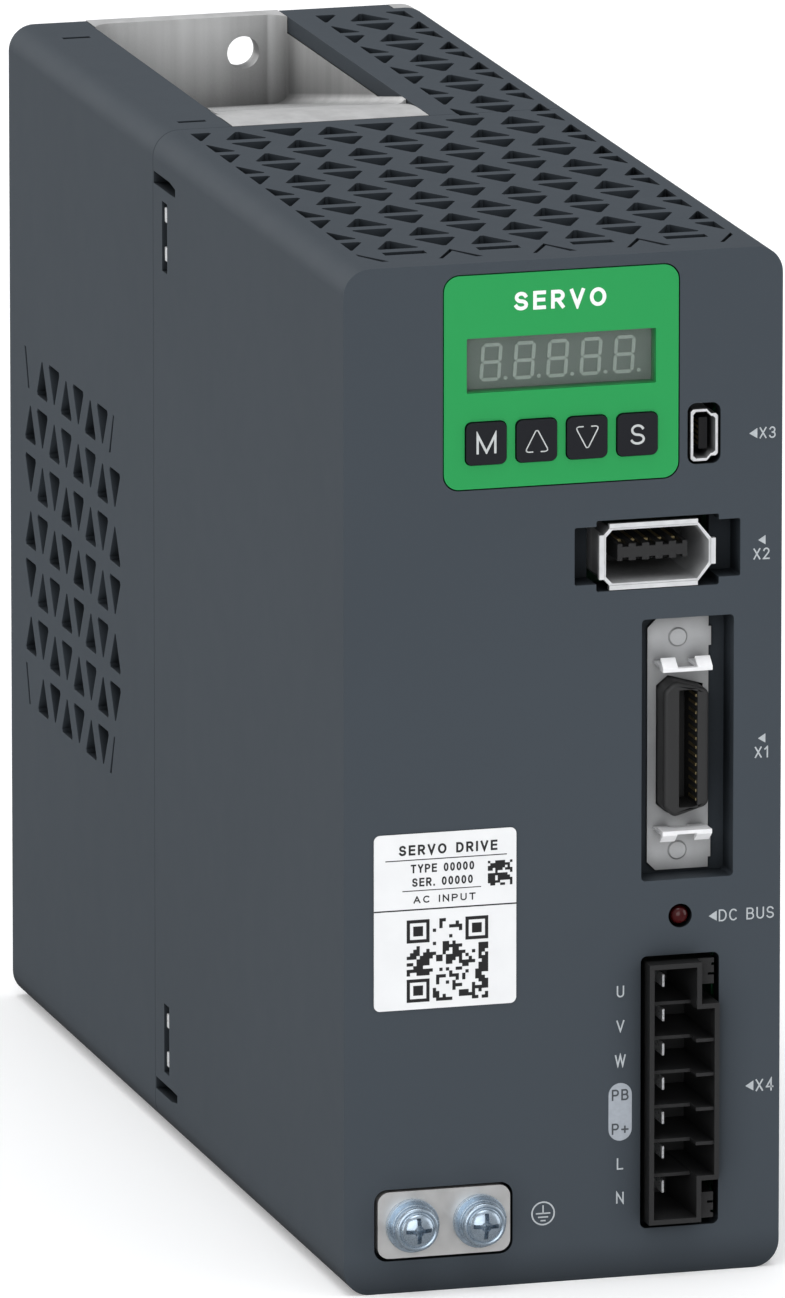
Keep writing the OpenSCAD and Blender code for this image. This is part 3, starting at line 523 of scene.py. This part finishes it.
def on_rounded_corner(point, radius=3.9 * MM):
    """True on the outline's quarter circles."""
    x = abs(point.x) - (HALF_W - radius)
    z = max(point.z - (TOP_Z - radius), radius - point.z)
    return x > 0 and z > 0 and math.hypot(x, z) > radius - 0.15 * MM


# how far each node's outer edges are rounded, in metres or by a function of the place
ROUNDINGS = {
    "front_housing": shell_rounding,
    "rear_housing": shell_rounding,
    "heatsink": 0.2 * MM,
    "chassis_screws": 0.08 * MM,
    "housing_clips": 0.1 * MM,
    "keypad_panel": 0.1 * MM,
    "display_window": 0.05 * MM,
    "display_module": 0.05 * MM,
    "button_mode": 0.3 * MM,
    "button_up": 0.3 * MM,
    "button_down": 0.3 * MM,
    "button_set": 0.3 * MM,
    "keypad_board": 0.1 * MM,
    "key_switches": 0.15 * MM,
    "keypad_link": 0.2 * MM,
    "control_board": 0.1 * MM,
    "control_chips": 0.12 * MM,
    "power_board": 0.1 * MM,
    "board_standoffs": 0.1 * MM,
    "usb_shell": 0.08 * MM,
    "usb_tongue": 0.05 * MM,
    "encoder_shell": 0.09 * MM,
    "encoder_tongue": 0.08 * MM,
    "signal_plate": 0.08 * MM,
    "signal_hooks": 0.08 * MM,
    "power_header": 0.1 * MM,
    "power_pins": 0.06 * MM,
    "earth_plate": 0.3 * MM,
    "earth_washers": 0.12 * MM,
    "rating_label": 0.03 * MM,
    "bus_capacitors": 0.6 * MM,
    "charge_relay": 0.5 * MM,
    "charge_lamp": 0.03 * MM,
    "power_module": 0.1 * MM,
    "rectifier": 0.1 * MM,
    "fan_frame": 0.3 * MM,
    "fan_rotor": 0.2 * MM,
}


def finish_nodes():
    return [finish_node(node, rounding, segments=3 if callable(rounding) else 2)
            for node, rounding in ROUNDINGS.items()]


def paint_remaining_nodes():
    """CAD nodes that keep their own mesh get their slot's material."""
    for node, thing in frame["nodes"].items():
        thing.data.materials.clear()
        thing.data.materials.append(finishes[slot_of[node]])
        thing["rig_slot"] = slot_of[node]


# ---------- signal connector ----------
def corner_turns(points):
    """Each corner of a convex outline with the unit directions to its neighbours and half its angle."""
    count = len(points)
    for i, corner in enumerate(points):
        corner = Vector(corner)
        before = (Vector(points[i - 1]) - corner).normalized()
        after = (Vector(points[(i + 1) % count]) - corner).normalized()
        yield corner, before, after, before.angle(after) / 2


def inset(points, distance):
    """The outline drawn in by a distance all round."""
    return [corner + (before + after).normalized() * distance / math.sin(half)
            for corner, before, after, half in corner_turns(points)]


def rounded_loop(points, radius, steps=4):
    """The convex outline with an arc at each corner."""
    loop = []
    for corner, before, after, half in corner_turns(points):
        centre = corner + (before + after).normalized() * radius / math.sin(half)
        start = corner + before * radius / math.tan(half) - centre
        end = corner + after * radius / math.tan(half) - centre
        turn = math.atan2(start.x * end.y - start.y * end.x, start.dot(end))
        for step in range(steps + 1):
            a = math.atan2(start.y, start.x) + turn * step / steps
            loop.append(centre + Vector((math.cos(a), math.sin(a))) * radius)
    return loop


def add_ring(bm, loop, y):
    """Vertices on the (x, z) loop at depth y."""
    return [bm.verts.new((point.x, y, point.y)) for point in loop]


def join_rings(bm, first, second):
    for i in range(len(first)):
        bm.faces.new([first[i - 1], first[i], second[i], second[i - 1]])


def ring_edges(bm, ring):
    pairs = [(ring[i - 1], ring[i]) for i in range(len(ring))]
    return [bm.edges.get(pair) or bm.edges.new(pair) for pair in pairs]


def soft_steps(radius, steps=5):
    """(inset, depth) pairs down a quarter-round edge, from the side of the body to its face."""
    angles = [math.radians(90 * i / steps) for i in range(steps + 1)]
    return [(radius * (1 - math.cos(a)), radius * (1 - math.sin(a))) for a in angles]


def build_signal_shroud():
    """The plug shroud: a soft-edged prism with a long slot, and the block behind that holds the contacts."""
    low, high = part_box("signal_shroud")
    contacts_low, contacts_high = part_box("signal_contacts")
    mid_z = (low.z + high.z) / 2
    upper = ((0, 8.6), (1.6, 10), (6.75, 8.5))      # mm from the left edge and from mid height
    outline = [(low.x + x * MM, mid_z - z * MM) for x, z in upper]
    outline += [(low.x + x * MM, mid_z + z * MM) for x, z in reversed(upper)]
    slot_half = 8.6 * MM
    slot = [(contacts_low.x, mid_z - slot_half), (contacts_high.x, mid_z - slot_half),
            (contacts_high.x, mid_z + slot_half), (contacts_low.x, mid_z + slot_half)]
    block_y = low.y + 7.1 * MM
    slot_depth = 6.6 * MM
    corner, soft, rim = 1.1 * MM, 0.6 * MM, 0.12 * MM

    bm = bmesh.new()
    ring = add_ring(bm, rounded_loop(outline, corner), block_y)
    bm.faces.new(ring)
    for step_in, depth in soft_steps(soft):
        behind = ring
        ring = add_ring(bm, rounded_loop(inset(outline, step_in), corner - step_in), low.y + depth)
        join_rings(bm, behind, ring)
    inner = [add_ring(bm, rounded_loop(inset(slot, step_in), 0.2 * MM), low.y + depth)
             for step_in, depth in ((-rim, 0), (-rim * 0.3, rim * 0.3), (0, rim), (0, slot_depth))]
    for first, second in zip(inner, inner[1:]):
        join_rings(bm, first, second)
    bm.faces.new(inner[-1])
    bmesh.ops.bridge_loops(bm, edges=ring_edges(bm, ring) + ring_edges(bm, inner[0]))

    block = bmesh.ops.create_cube(bm, size=1)["verts"]
    block_low = Vector((low.x, block_y, low.z))
    size = high - block_low
    bmesh.ops.scale(bm, verts=block, vec=size)
    bmesh.ops.translate(bm, verts=block, vec=block_low + size / 2)
    bmesh.ops.recalc_face_normals(bm, faces=bm.faces)
    sharpen(bm, 50)
    name = "signal_shroud_finished"
    return add_piece(name, mesh_from(bm, name), "grey_moulding", stands_for=["signal_shroud"])


# ---------- earth screws ----------
def lathe(profile, turns=64):
    """A closed solid of revolution about Z from (radius, height) pairs that start and end on the axis."""
    bm = bmesh.new()
    rings = []
    for radius, height in profile:
        if radius == 0:
            rings.append([bm.verts.new((0, 0, height))])
            continue
        angles = [2 * math.pi * i / turns for i in range(turns)]
        rings.append([bm.verts.new((radius * math.cos(a), radius * math.sin(a), height)) for a in angles])
    for low, high in zip(rings, rings[1:]):
        for i in range(turns):
            j = (i + 1) % turns
            corners = [low[i % len(low)], low[j % len(low)], high[j % len(high)], high[i % len(high)]]
            bm.faces.new(list(dict.fromkeys(corners)))
    bmesh.ops.recalc_face_normals(bm, faces=bm.faces)
    return bm


def phillips_cutter(top, reach, half_width, depth):
    """Two crossed tapered wings and a centre cone, pointing down from z = top."""
    clear = 0.3 * MM                                # how far the cutter stands over the head
    corners = ((-1, -1), (1, -1), (1, 1), (-1, 1))
    bm = bmesh.new()
    for turn in (0, math.pi / 2):
        spin = Matrix.Rotation(turn, 4, "Z")
        upper, lower = [
            [bm.verts.new(spin @ Vector((x * reach * along, y * half_width * across, z))) for x, y in corners]
            for along, across, z in ((1, 1, top + clear), (0.6, 0.75, top - depth))]
        bm.faces.new(upper)
        bm.faces.new(lower[::-1])
        for i in range(4):
            bm.faces.new([upper[i - 1], lower[i - 1], lower[i], upper[i]])
    cone = bmesh.ops.create_cone(bm, cap_ends=True, segments=16, radius1=0.35 * MM, radius2=0.85 * MM,
                                 depth=depth + clear)
    bmesh.ops.translate(bm, verts=cone["verts"], vec=(0, 0, top + (clear - depth) / 2))
    bmesh.ops.recalc_face_normals(bm, faces=bm.faces)
    return bm


def screw_mesh():
    """A pan-head screw, head up, its seat at z = 0, with a raised rim round the dome. Gives the mesh and
    the height of the head."""
    low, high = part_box("earth_screws")
    washers_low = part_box("earth_washers")[0]
    head = washers_low.y - low.y
    shank = high.y - washers_low.y
    radius = (high.z - low.z) / 2
    shank_r, chamfer, foot = 1.95 * MM, 0.4 * MM, 0.12 * MM
    profile = [(0, -shank), (1.6 * MM, -shank), (shank_r, chamfer - shank), (shank_r, 0)]
    profile += [(radius - foot, 0), (radius, foot)]
    shoulder = 0.42 * MM
    rim_z = head * 0.58
    for step in range(7):
        a = math.radians(90 * step / 6)
        profile.append((radius - shoulder * (1 - math.cos(a)), rim_z - shoulder * (1 - math.sin(a))))
    profile += [(radius - 0.62 * MM, rim_z - 0.1 * MM), (radius - 0.72 * MM, rim_z - 0.02 * MM)]
    dome = radius - 0.78 * MM
    for step in range(9):
        a = math.radians(90 * step / 9)
        profile.append((dome * math.cos(a), rim_z + (head - rim_z) * math.sin(a)))
    profile.append((0, head))
    return lathe(profile), head


def boolean_cut(target, cutter):
    """The target mesh with the cutter's solid taken away."""
    holder = bpy.data.objects.new("target", target)
    tool = bpy.data.objects.new("tool", cutter)
    for thing in (holder, tool):
        bpy.context.scene.collection.objects.link(thing)
    modifier = holder.modifiers.new("cut", "BOOLEAN")
    modifier.operation = "DIFFERENCE"
    modifier.solver = "EXACT"
    modifier.use_self = True
    modifier.object = tool
    bpy.context.view_layer.update()
    made = bpy.data.meshes.new_from_object(holder.evaluated_get(bpy.context.evaluated_depsgraph_get()))
    for thing in (holder, tool):
        bpy.data.objects.remove(thing)
    return made


def build_earth_screws():
    """Both screws as one piece, each turned to its own angle."""
    bm, head = screw_mesh()
    body = mesh_from(bm, "screw_body")
    cutter = mesh_from(phillips_cutter(head, 2.2 * MM, 0.32 * MM, 1.7 * MM), "screw_cutter")
    screw = boolean_cut(body, cutter)
    low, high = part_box("earth_screws")
    radius = (high.z - low.z) / 2
    seat_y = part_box("earth_washers")[0].y
    both = bmesh.new()
    for x, turn in ((low.x + radius, 1), (high.x - radius, -2)):
        place = Matrix.Translation((x, seat_y, (low.z + high.z) / 2))
        tip = Matrix.Rotation(math.radians(90), 4, "X")
        copy = screw.copy()
        copy.transform(place @ tip @ Matrix.Rotation(math.radians(turn), 4, "Z"))
        both.from_mesh(copy)
    bmesh.ops.remove_doubles(both, verts=both.verts, dist=1e-6)
    sharpen(both, 32)
    name = "earth_screws_finished"
    return add_piece(name, mesh_from(both, name), "zinc_screw", stands_for=["earth_screws"])


# ---------- printing ----------
INK_RISE = 0.018 * MM                            # how far the print stands out of its face
INK_LAYER = 0.001 * MM                           # step between shapes that overlap
INK_DEPTH = INK_RISE * 1.6                       # thickness of the print, part of it in the face


def bow(x, z, half_width, half_height, start, end, steps=12):
    """Points on an ellipse from one angle to another, in degrees."""
    angles = [math.radians(start + (end - start) * i / steps) for i in range(steps + 1)]
    return [(x + half_width * math.cos(a), z + half_height * math.sin(a)) for a in angles]


# Plain block capitals and digits: their width and their centre lines, in units of their height
STEM = [(0, 0), (0, 1)]
BOWL = [(0, 1), (0.34, 1)] + bow(0.34, 0.73, 0.25, 0.27, 90, -90) + [(0, 0.46)]
LETTERS = {
    "A": (0.7, [[(0, 0), (0.35, 1), (0.7, 0)], [(0.13, 0.32), (0.57, 0.32)]]),
    "B": (0.61, [STEM, [(0, 1), (0.34, 1)] + bow(0.34, 0.76, 0.22, 0.24, 90, -90) + [(0, 0.52)],
                 [(0, 0.52), (0.36, 0.52)] + bow(0.36, 0.26, 0.25, 0.26, 90, -90) + [(0, 0)]]),
    "C": (0.66, [bow(0.36, 0.5, 0.36, 0.5, 48, 312, 18)]),
    "D": (0.64, [STEM, [(0, 1), (0.27, 1)] + bow(0.27, 0.5, 0.37, 0.5, 90, -90, 14) + [(0, 0)]]),
    "E": (0.54, [[(0.54, 1), (0, 1), (0, 0), (0.54, 0)], [(0, 0.52), (0.5, 0.52)]]),
    "I": (0, [STEM]),
    "L": (0.5, [[(0, 1), (0, 0), (0.5, 0)]]),
    "M": (0.78, [[(0, 0), (0, 1), (0.39, 0.02), (0.78, 1), (0.78, 0)]]),
    "N": (0.62, [[(0, 0), (0, 1), (0.62, 0), (0.62, 1)]]),
    "O": (0.76, [bow(0.38, 0.5, 0.38, 0.5, 0, 360, 28)]),
    "P": (0.59, [STEM, BOWL]),
    "R": (0.6, [STEM, BOWL, [(0.33, 0.4), (0.58, 0)]]),
    "S": (0.6, [bow(0.3, 0.745, 0.27, 0.255, 22, 270, 14) + bow(0.3, 0.245, 0.3, 0.245, 90, -160, 14)[1:]]),
    "T": (0.6, [[(0, 1), (0.6, 1)], [(0.3, 1), (0.3, 0)]]),
    "U": (0.6, [[(0, 1), (0, 0.3)] + bow(0.3, 0.3, 0.3, 0.3, 180, 360)[1:] + [(0.6, 1)]]),
    "V": (0.66, [[(0, 1), (0.33, 0), (0.66, 1)]]),
    "W": (0.94, [[(0, 1), (0.23, 0), (0.47, 1), (0.71, 0), (0.94, 1)]]),
    "X": (0.6, [[(0.02, 0.02), (0.58, 0.98)], [(0.02, 0.98), (0.58, 0.02)]]),
    "Y": (0.6, [[(0, 1), (0.3, 0.44), (0.6, 1)], [(0.3, 0.44), (0.3, 0)]]),
    "0": (0.5, [bow(0.25, 0.5, 0.25, 0.5, 0, 360, 24)]),
    "1": (0.3, [[(0, 0.78), (0.24, 1), (0.24, 0)]]),
    "2": (0.54, [bow(0.27, 0.73, 0.25, 0.27, 165, -35) + [(0, 0), (0.54, 0)]]),
    "3": (0.53, [bow(0.26, 0.75, 0.24, 0.25, 160, -90), bow(0.26, 0.26, 0.27, 0.26, 90, -160)]),
    "4": (0.58, [[(0.42, 0), (0.42, 1), (0, 0.3), (0.58, 0.3)]]),
    "+": (0.6, [[(0, 0.42), (0.6, 0.42)], [(0.3, 0.12), (0.3, 0.72)]]),
    ".": (0, [[(0, -0.02), (0, 0.02)]]),
}


class Print:
    """Flat printed shapes in (x, z) metres on a face that looks towards -Y."""

    def __init__(self):
        self.corners = []
        self.faces = []
        self.layer = 0                              # shapes that overlap lie on different layers

    def polygon(self, points):
        """A filled shape; its points run anticlockwise as the viewer sees it."""
        start = len(self.corners)
        self.corners += [(*p, self.layer) for p in points]
        self.faces.append(list(range(start, start + len(points))))

    def bar(self, x0, x1, z0, z1):
        self.polygon([(x0, z0), (x1, z0), (x1, z1), (x0, z1)])

    def stroke(self, a, b, width):
        """A straight line of that width with square ends."""
        a, b = Vector(a), Vector(b)
        side = (b - a).orthogonal().normalized() * width / 2
        self.polygon([a - side, b - side, b + side, a + side])

    def arc(self, centre, radius, width, start=0, end=360, steps=48):
        angles = [math.radians(start + (end - start) * i / steps) for i in range(steps + 1)]
        rims = [[(centre[0] + r * math.cos(a), centre[1] + r * math.sin(a)) for a in angles]
                for r in (radius - width / 2, radius + width / 2)]
        for i in range(steps):
            self.polygon([rims[0][i], rims[1][i], rims[1][i + 1], rims[0][i + 1]])

    def pointer(self, x, z, size):
        """A small solid triangle that points left, its tip at x."""
        self.polygon([(x, z), (x + size, z - size * 0.62), (x + size, z + size * 0.62)])

    def path(self, points, width):
        """A line of that width through the points, mitred at its bends and square at its ends. It closes
        where its ends meet."""
        points = [Vector(point) for point, before in zip(points, [None, *points]) if point != before]
        closed = (points[0] - points[-1]).length < 0.001 * MM
        if closed:
            points.pop()
        else:
            for end, inward in ((0, 1), (-1, -2)):
                points[end] += (points[end] - points[inward]).normalized() * width / 2
        count = len(points)
        ends = []                                   # at each point, the line's two edges before and after it
        for i, point in enumerate(points):
            before = points[i - 1] if closed or i else None
            after = points[(i + 1) % count] if closed or i < count - 1 else None
            ahead = ((after or point) - (point if after else before)).normalized()
            behind = (point - before).normalized() if before else ahead
            normals = [Vector((-d.y, d.x)) * width / 2 for d in (behind, ahead)]
            mitre = (normals[0] + normals[1]).normalized()
            reach = mitre * (width / 2) ** 2 / mitre.dot(normals[0])
            if reach.length < width * 0.8:
                ends.append([(point + reach, point - reach)] * 2)
                continue
            side = 1 if behind.x * ahead.y > behind.y * ahead.x else -1
            inner = point + reach * side
            spare = math.sqrt(max(reach.length ** 2 - (width / 2) ** 2, 0)) * (1 - width / 2 / reach.length)
            outer = [point - normals[0] * side + behind * spare, point - normals[1] * side - ahead * spare]
            self.polygon([inner, outer[0], outer[1]])
            ends.append([(inner, corner) if side == 1 else (corner, inner) for corner in outer])
        for i in range(0 if closed else 1, count):
            (a, b), (c, d) = ends[i - 1][1], ends[i][0]
            self.polygon([a, b, d, c])

    def word(self, text, x, z, height, align=0.5, weight=0.125, width=0):
        """Capitals and digits of that height round height z, stretched to a width if one is given.
        align 0 starts them at x, 1 ends them there. Returns their left end."""
        line = weight * height
        inner = height - line
        gap = 0.17 * height + 0.25 * line
        advance = [(0.3 if letter == " " else LETTERS[letter][0]) * inner + line + gap for letter in text]
        natural = sum(advance) - gap
        stretch = (width - line) / (natural - line) if width else 1
        left = x - align * (width or natural)
        for letter, start in zip(text, [sum(advance[:i]) for i in range(len(text))]):
            for self.layer, points in enumerate(() if letter == " " else LETTERS[letter][1]):
                self.path([(left + line / 2 + (start + u * inner) * stretch, z + (v - 0.5) * inner)
                           for u, v in points], line)
        self.layer = 0
        return left

    def show(self, name, face_y, slot, material, body=DRIVE):
        """Makes the shapes into one thin raised piece on the face at face_y."""
        bm = bmesh.new()
        verts = [bm.verts.new((x, face_y - INK_RISE - layer * INK_LAYER, z)) for x, z, layer in self.corners]
        for face in self.faces:
            made = bm.faces.new([verts[i] for i in face])
            made.normal_update()
            if made.normal.y > 0:
                made.normal_flip()
        bmesh.ops.remove_doubles(bm, verts=bm.verts, dist=2e-7)
        whole = bmesh.ops.extrude_face_region(bm, geom=list(bm.faces))
        moved = [g for g in whole["geom"] if isinstance(g, bmesh.types.BMVert)]
        front = [v for v in bm.verts if v not in set(moved)]
        bmesh.ops.translate(bm, verts=front, vec=(0, INK_DEPTH, 0))
        bmesh.ops.recalc_face_normals(bm, faces=bm.faces)
        return add_piece(name, mesh_from(bm, name), slot, body, material)


def print_panel():
    """Connector designators, terminal letters and the earth symbol."""
    grey = ink("panel_ink", (0.42, 0.45, 0.47))
    marks = Print()
    size = 1.7 * MM
    beside = (("X3", 31.5, 122.85, 1.7), ("DC BUS", 31.55, 52.45, 1.75), ("X4", 31.6, 26.98, 1.84))
    for text, right, z, height in beside:           # a pointer to the left of the word
        left = marks.word(text, right * MM, z * MM, height * MM, align=1, weight=0.12)
        marks.pointer(left - 1.5 * MM, z * MM, 1.2 * MM)
    for text, x, z, tip_x, tip_z in (("X2", 29.45, 105.2, 28.95, 107.21), ("X1", 29.6, 76.1, 29.05, 78.14)):
        marks.pointer(tip_x * MM, tip_z * MM, 1.1 * MM)
        marks.word(text, x * MM, z * MM, size)
    letters_x = 8.64 * MM
    for letter, z in (("U", 42.22), ("V", 37.14), ("W", 32.05), ("L", 16.77), ("N", 11.76)):
        marks.word(letter, letters_x, z * MM, size)
    earth = (-2.84 * MM, 10.25 * MM)
    marks.arc(earth, 1.66 * MM, 0.22 * MM)
    thick = 0.1 * MM
    marks.bar(earth[0] - thick, earth[0] + thick, earth[1], earth[1] + 1.2 * MM)
    for half, drop in ((1.08, 0), (0.76, 0.55), (0.38, 1.08)):
        z = earth[1] - drop * MM
        marks.bar(earth[0] - half * MM, earth[0] + half * MM, z - thick, z + thick)
    marks.show("panel_marks", PANEL_Y, "label", grey)

    pill = Print()
    radius = 1.74 * MM
    low, high = 20.2 * MM, 28.73 * MM
    outline = []
    for centre_z, start in ((high - radius, 0), (low + radius, 180)):
        for i in range(13):
            a = math.radians(start + 15 * i)
            outline.append((letters_x + radius * math.cos(a), centre_z + radius * math.sin(a)))
    pill.polygon(outline)
    pill.show("brake_terminal_patch", PANEL_Y, "label", ink("patch_ink", (0.34, 0.37, 0.41)))
    brake = Print()
    for text, z in (("PB", 26.97), ("P+", 21.96)):
        brake.word(text, letters_x, z * MM, 1.65 * MM, weight=0.15)
    dark = ink("patch_letters_ink", (0.05, 0.058, 0.066))
    brake.show("brake_terminal_letters", PANEL_Y - INK_RISE, "label", dark)


def print_keypad():
    """A plain generic word over the display."""
    word = Print()
    low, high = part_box("keypad_panel")
    middle = (low.x + high.x) / 2 - 0.1 * MM
    word.word("SERVO", middle, 144.1 * MM, 2.7 * MM, weight=0.2, width=13.6 * MM)
    word.show("keypad_word", low.y, "label", ink("keypad_ink", (0.82, 0.85, 0.83)))


def key_outline_triangle(print_on, centre, flip):
    """An open triangle: rounded corners, its base broken in the middle."""
    x, z = centre
    width = 0.17 * MM

    def at(across, up):
        return x + across * MM, z + up * flip * MM

    base = -1.62
    print_on.stroke(at(-0.18, 1.4), at(-1.55, -1.2), width)
    print_on.stroke(at(0.18, 1.4), at(1.55, -1.2), width)
    print_on.stroke(at(-0.2, 1.44), at(0.2, 1.44), width)
    for side in (-1, 1):
        points = [at(side * across, up) for across, up in
                  ((1.55, -1.2), (1.57, base + 0.14), (1.27, base), (0.55, base))]
        for a, b in zip(points, points[1:]):
            print_on.stroke(a, b, width)


def print_keys():
    """Each legend rides on its own button."""
    pale = ink("key_ink", (0.50, 0.52, 0.52))
    for body, mark in (("button_mode", "M"), ("button_up", 1), ("button_down", -1), ("button_set", "S")):
        low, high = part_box(body)
        centre = ((low.x + high.x) / 2, (low.z + high.z) / 2)
        legend = Print()
        if isinstance(mark, str):
            width = {"M": 2.95, "S": 2.15}[mark] * MM
            legend.word(mark, *centre, 2.95 * MM, weight=0.115, width=width)
        else:
            key_outline_triangle(legend, centre, mark)
        legend.show(body + "_legend", low.y, "label", pale, body)


def block_code(code, corner, size, cells, seed, framed=0):
    """A square pattern of random dark cells that carries no data. If framed is given, three corners hold
    rings that are so many cells wide."""
    rng = random.Random(seed)
    cell = size / cells
    dark = [[False] * cells for _ in range(cells)]
    for row in range(cells):
        for column in range(cells):
            left = dark[row][column - 1] if column else rng.random() < 0.5
            below = dark[row - 1][column] if row else rng.random() < 0.5
            dark[row][column] = rng.choice((left, below, rng.random() < 0.5, rng.random() < 0.45))
    corners = [(0, 0), (cells - framed, 0), (cells - framed, cells - framed)] if framed else []
    for low_row, low_column in corners:
        for row in range(max(low_row - 1, 0), min(low_row + framed + 1, cells)):
            for column in range(max(low_column - 1, 0), min(low_column + framed + 1, cells)):
                ring = max(abs(row - low_row - framed // 2), abs(column - low_column - framed // 2))
                dark[row][column] = ring in (0, 1, 3)
    for row in range(cells):
        column = 0
        while column < cells:
            end = column
            while end < cells and dark[row][end]:
                end += 1
            if end > column:
                x, z = corner[0] + column * cell, corner[1] + row * cell
                code.bar(x, x + (end - column) * cell, z, z + cell)
            column = end + 1


def print_label():
    """Generic words, placeholder digits, rules and two patterns that carry no data."""
    low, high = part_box("rating_label")
    black = ink("label_ink", (0.008, 0.008, 0.009), 0.45)
    marks = Print()
    rules = ((low.x, high.x, 56.35 * MM, 0.2 * MM), (-26.36 * MM, -8.35 * MM, 63.66 * MM, 0.14 * MM),
             (-23.83 * MM, -12.17 * MM, 59.13 * MM, 0.13 * MM))
    for left, right, z, line in rules:
        marks.bar(left, right, z - line / 2, z + line / 2)
    rows = (("SERVO DRIVE", -17.05, 65.1, 1.5, 14.6, 0.2), ("TYPE 00000", -17.9, 62.35, 1.25, 9.4, 0.19),
            ("SER. 00000", -17.9, 60.35, 1.25, 9.0, 0.19), ("AC INPUT", -17.6, 57.8, 1.05, 9.2, 0.18))
    for text, x, z, height, width, weight in rows:
        marks.word(text, x * MM, z * MM, height * MM, weight=weight, width=width * MM)
    marks.show("label_text", low.y, "label", black)
    code = Print()
    block_code(code, (-23.2 * MM, 42.75 * MM), 12.1 * MM, cells=25, seed=7, framed=7)
    block_code(code, (-11.17 * MM, 59.15 * MM), 3.65 * MM, cells=10, seed=11)
    code.show("label_patterns", low.y, "label", black)


# ---------- stage ----------
def area_light(name, place, target, size, power, colour=(1, 1, 1)):
    data = bpy.data.lights.new(name, "AREA")
    data.shape = "RECTANGLE"
    data.size, data.size_y = size
    data.energy = power
    data.color = colour
    light = bpy.data.objects.new(name, data)
    light.location = place
    light.rotation_euler = (Vector(target) - Vector(place)).to_track_quat("-Z", "Y").to_euler()
    light.visible_camera = False
    bpy.context.scene.collection.objects.link(light)


def make_stage():
    """A plain pale floor that can be seen through from below, a pale sky and soft lights all round."""
    bm = bmesh.new()
    bmesh.ops.create_grid(bm, x_segments=1, y_segments=1, size=40)
    floor = bpy.data.objects.new("floor", mesh_from(bm, "floor"))
    bpy.context.scene.collection.objects.link(floor)
    s = Surface("studio_floor", (0.9, 0.9, 0.9), 0.9, Emission_Color=(1, 1, 1, 1), Emission_Strength=0.2)
    s.drift(s.noise(0.5, 2), 0.01)
    see = s.nodes.new("ShaderNodeBsdfTransparent")
    side = s.nodes.new("ShaderNodeNewGeometry")
    mix = s.nodes.new("ShaderNodeMixShader")
    s.links.new(side.outputs["Backfacing"], mix.inputs["Fac"])
    s.links.new(s.shader.outputs["BSDF"], mix.inputs[1])
    s.links.new(see.outputs["BSDF"], mix.inputs[2])
    s.links.new(mix.outputs["Shader"], s.nodes["Material Output"].inputs["Surface"])
    floor.data.materials.append(s.material)
    floor.visible_glossy = False

    world = bpy.data.worlds.new("studio")
    bpy.context.scene.world = world
    world.use_nodes = True
    tree = world.node_tree
    sky = tree.nodes["Background"]
    place = tree.nodes.new("ShaderNodeTexCoord")
    split = tree.nodes.new("ShaderNodeSeparateXYZ")
    ramp = tree.nodes.new("ShaderNodeValToRGB")
    tree.links.new(place.outputs["Generated"], split.inputs["Vector"])
    tree.links.new(split.outputs["Z"], ramp.inputs["Fac"])
    tree.links.new(ramp.outputs["Color"], sky.inputs["Color"])
    elements = ramp.color_ramp.elements
    elements[0].position, elements[0].color = 0.05, (0.3, 0.3, 0.305, 1)
    elements[1].position, elements[1].color = 0.9, (0.62, 0.63, 0.65, 1)
    sky.inputs["Strength"].default_value = 1.0

    aim = (0, 0, 0.075)
    area_light("front", (-1.0, -3.8, 0.9), aim, (3, 3), 70, (0.97, 0.985, 1))
    area_light("left", (-3.9, 0.3, 0.8), aim, (3, 3), 39, (1, 0.985, 0.95))
    area_light("top", (-0.3, -0.3, 4.0), aim, (3, 3), 74)
    area_light("right", (3.8, -0.8, 0.9), aim, (3, 3), 45)
    area_light("back", (-1.8, 3.6, 1.4), aim, (3, 3), 36)


def make_camera():
    """The reference view: from the left and a little above, through a long lens."""
    azimuth, elevation = math.radians(-15.874), math.radians(13.026)
    distance = 2.8993
    slide = (-1.13 * MM, 2.54 * MM)
    centre = Vector((0, (PANEL_Y + REAR_Y) / 2, TOP_Z / 2))
    back = Vector((math.sin(azimuth) * math.cos(elevation), -math.cos(azimuth) * math.cos(elevation),
                   math.sin(elevation)))
    right = (-back).cross(Vector((0, 0, 1))).normalized()
    up = right.cross(-back)
    data = bpy.data.cameras.new("camera")
    data.sensor_fit = "AUTO"
    data.sensor_width = 36
    data.lens = 546.9
    data.clip_start, data.clip_end = 0.05, 200
    camera = bpy.data.objects.new("camera", data)
    camera.location = centre - slide[0] * right - slide[1] * up + distance * back
    camera.rotation_euler = (-back).to_track_quat("-Z", "Y").to_euler()
    bpy.context.scene.collection.objects.link(camera)
    bpy.context.scene.camera = camera


make_camera()
make_stage()
bpy.context.scene.view_settings.view_transform = "Standard"
paint_remaining_nodes()
settle(finish_nodes() + [build_signal_shroud(), build_earth_screws()])
print_panel()
print_keypad()
print_keys()
print_label()
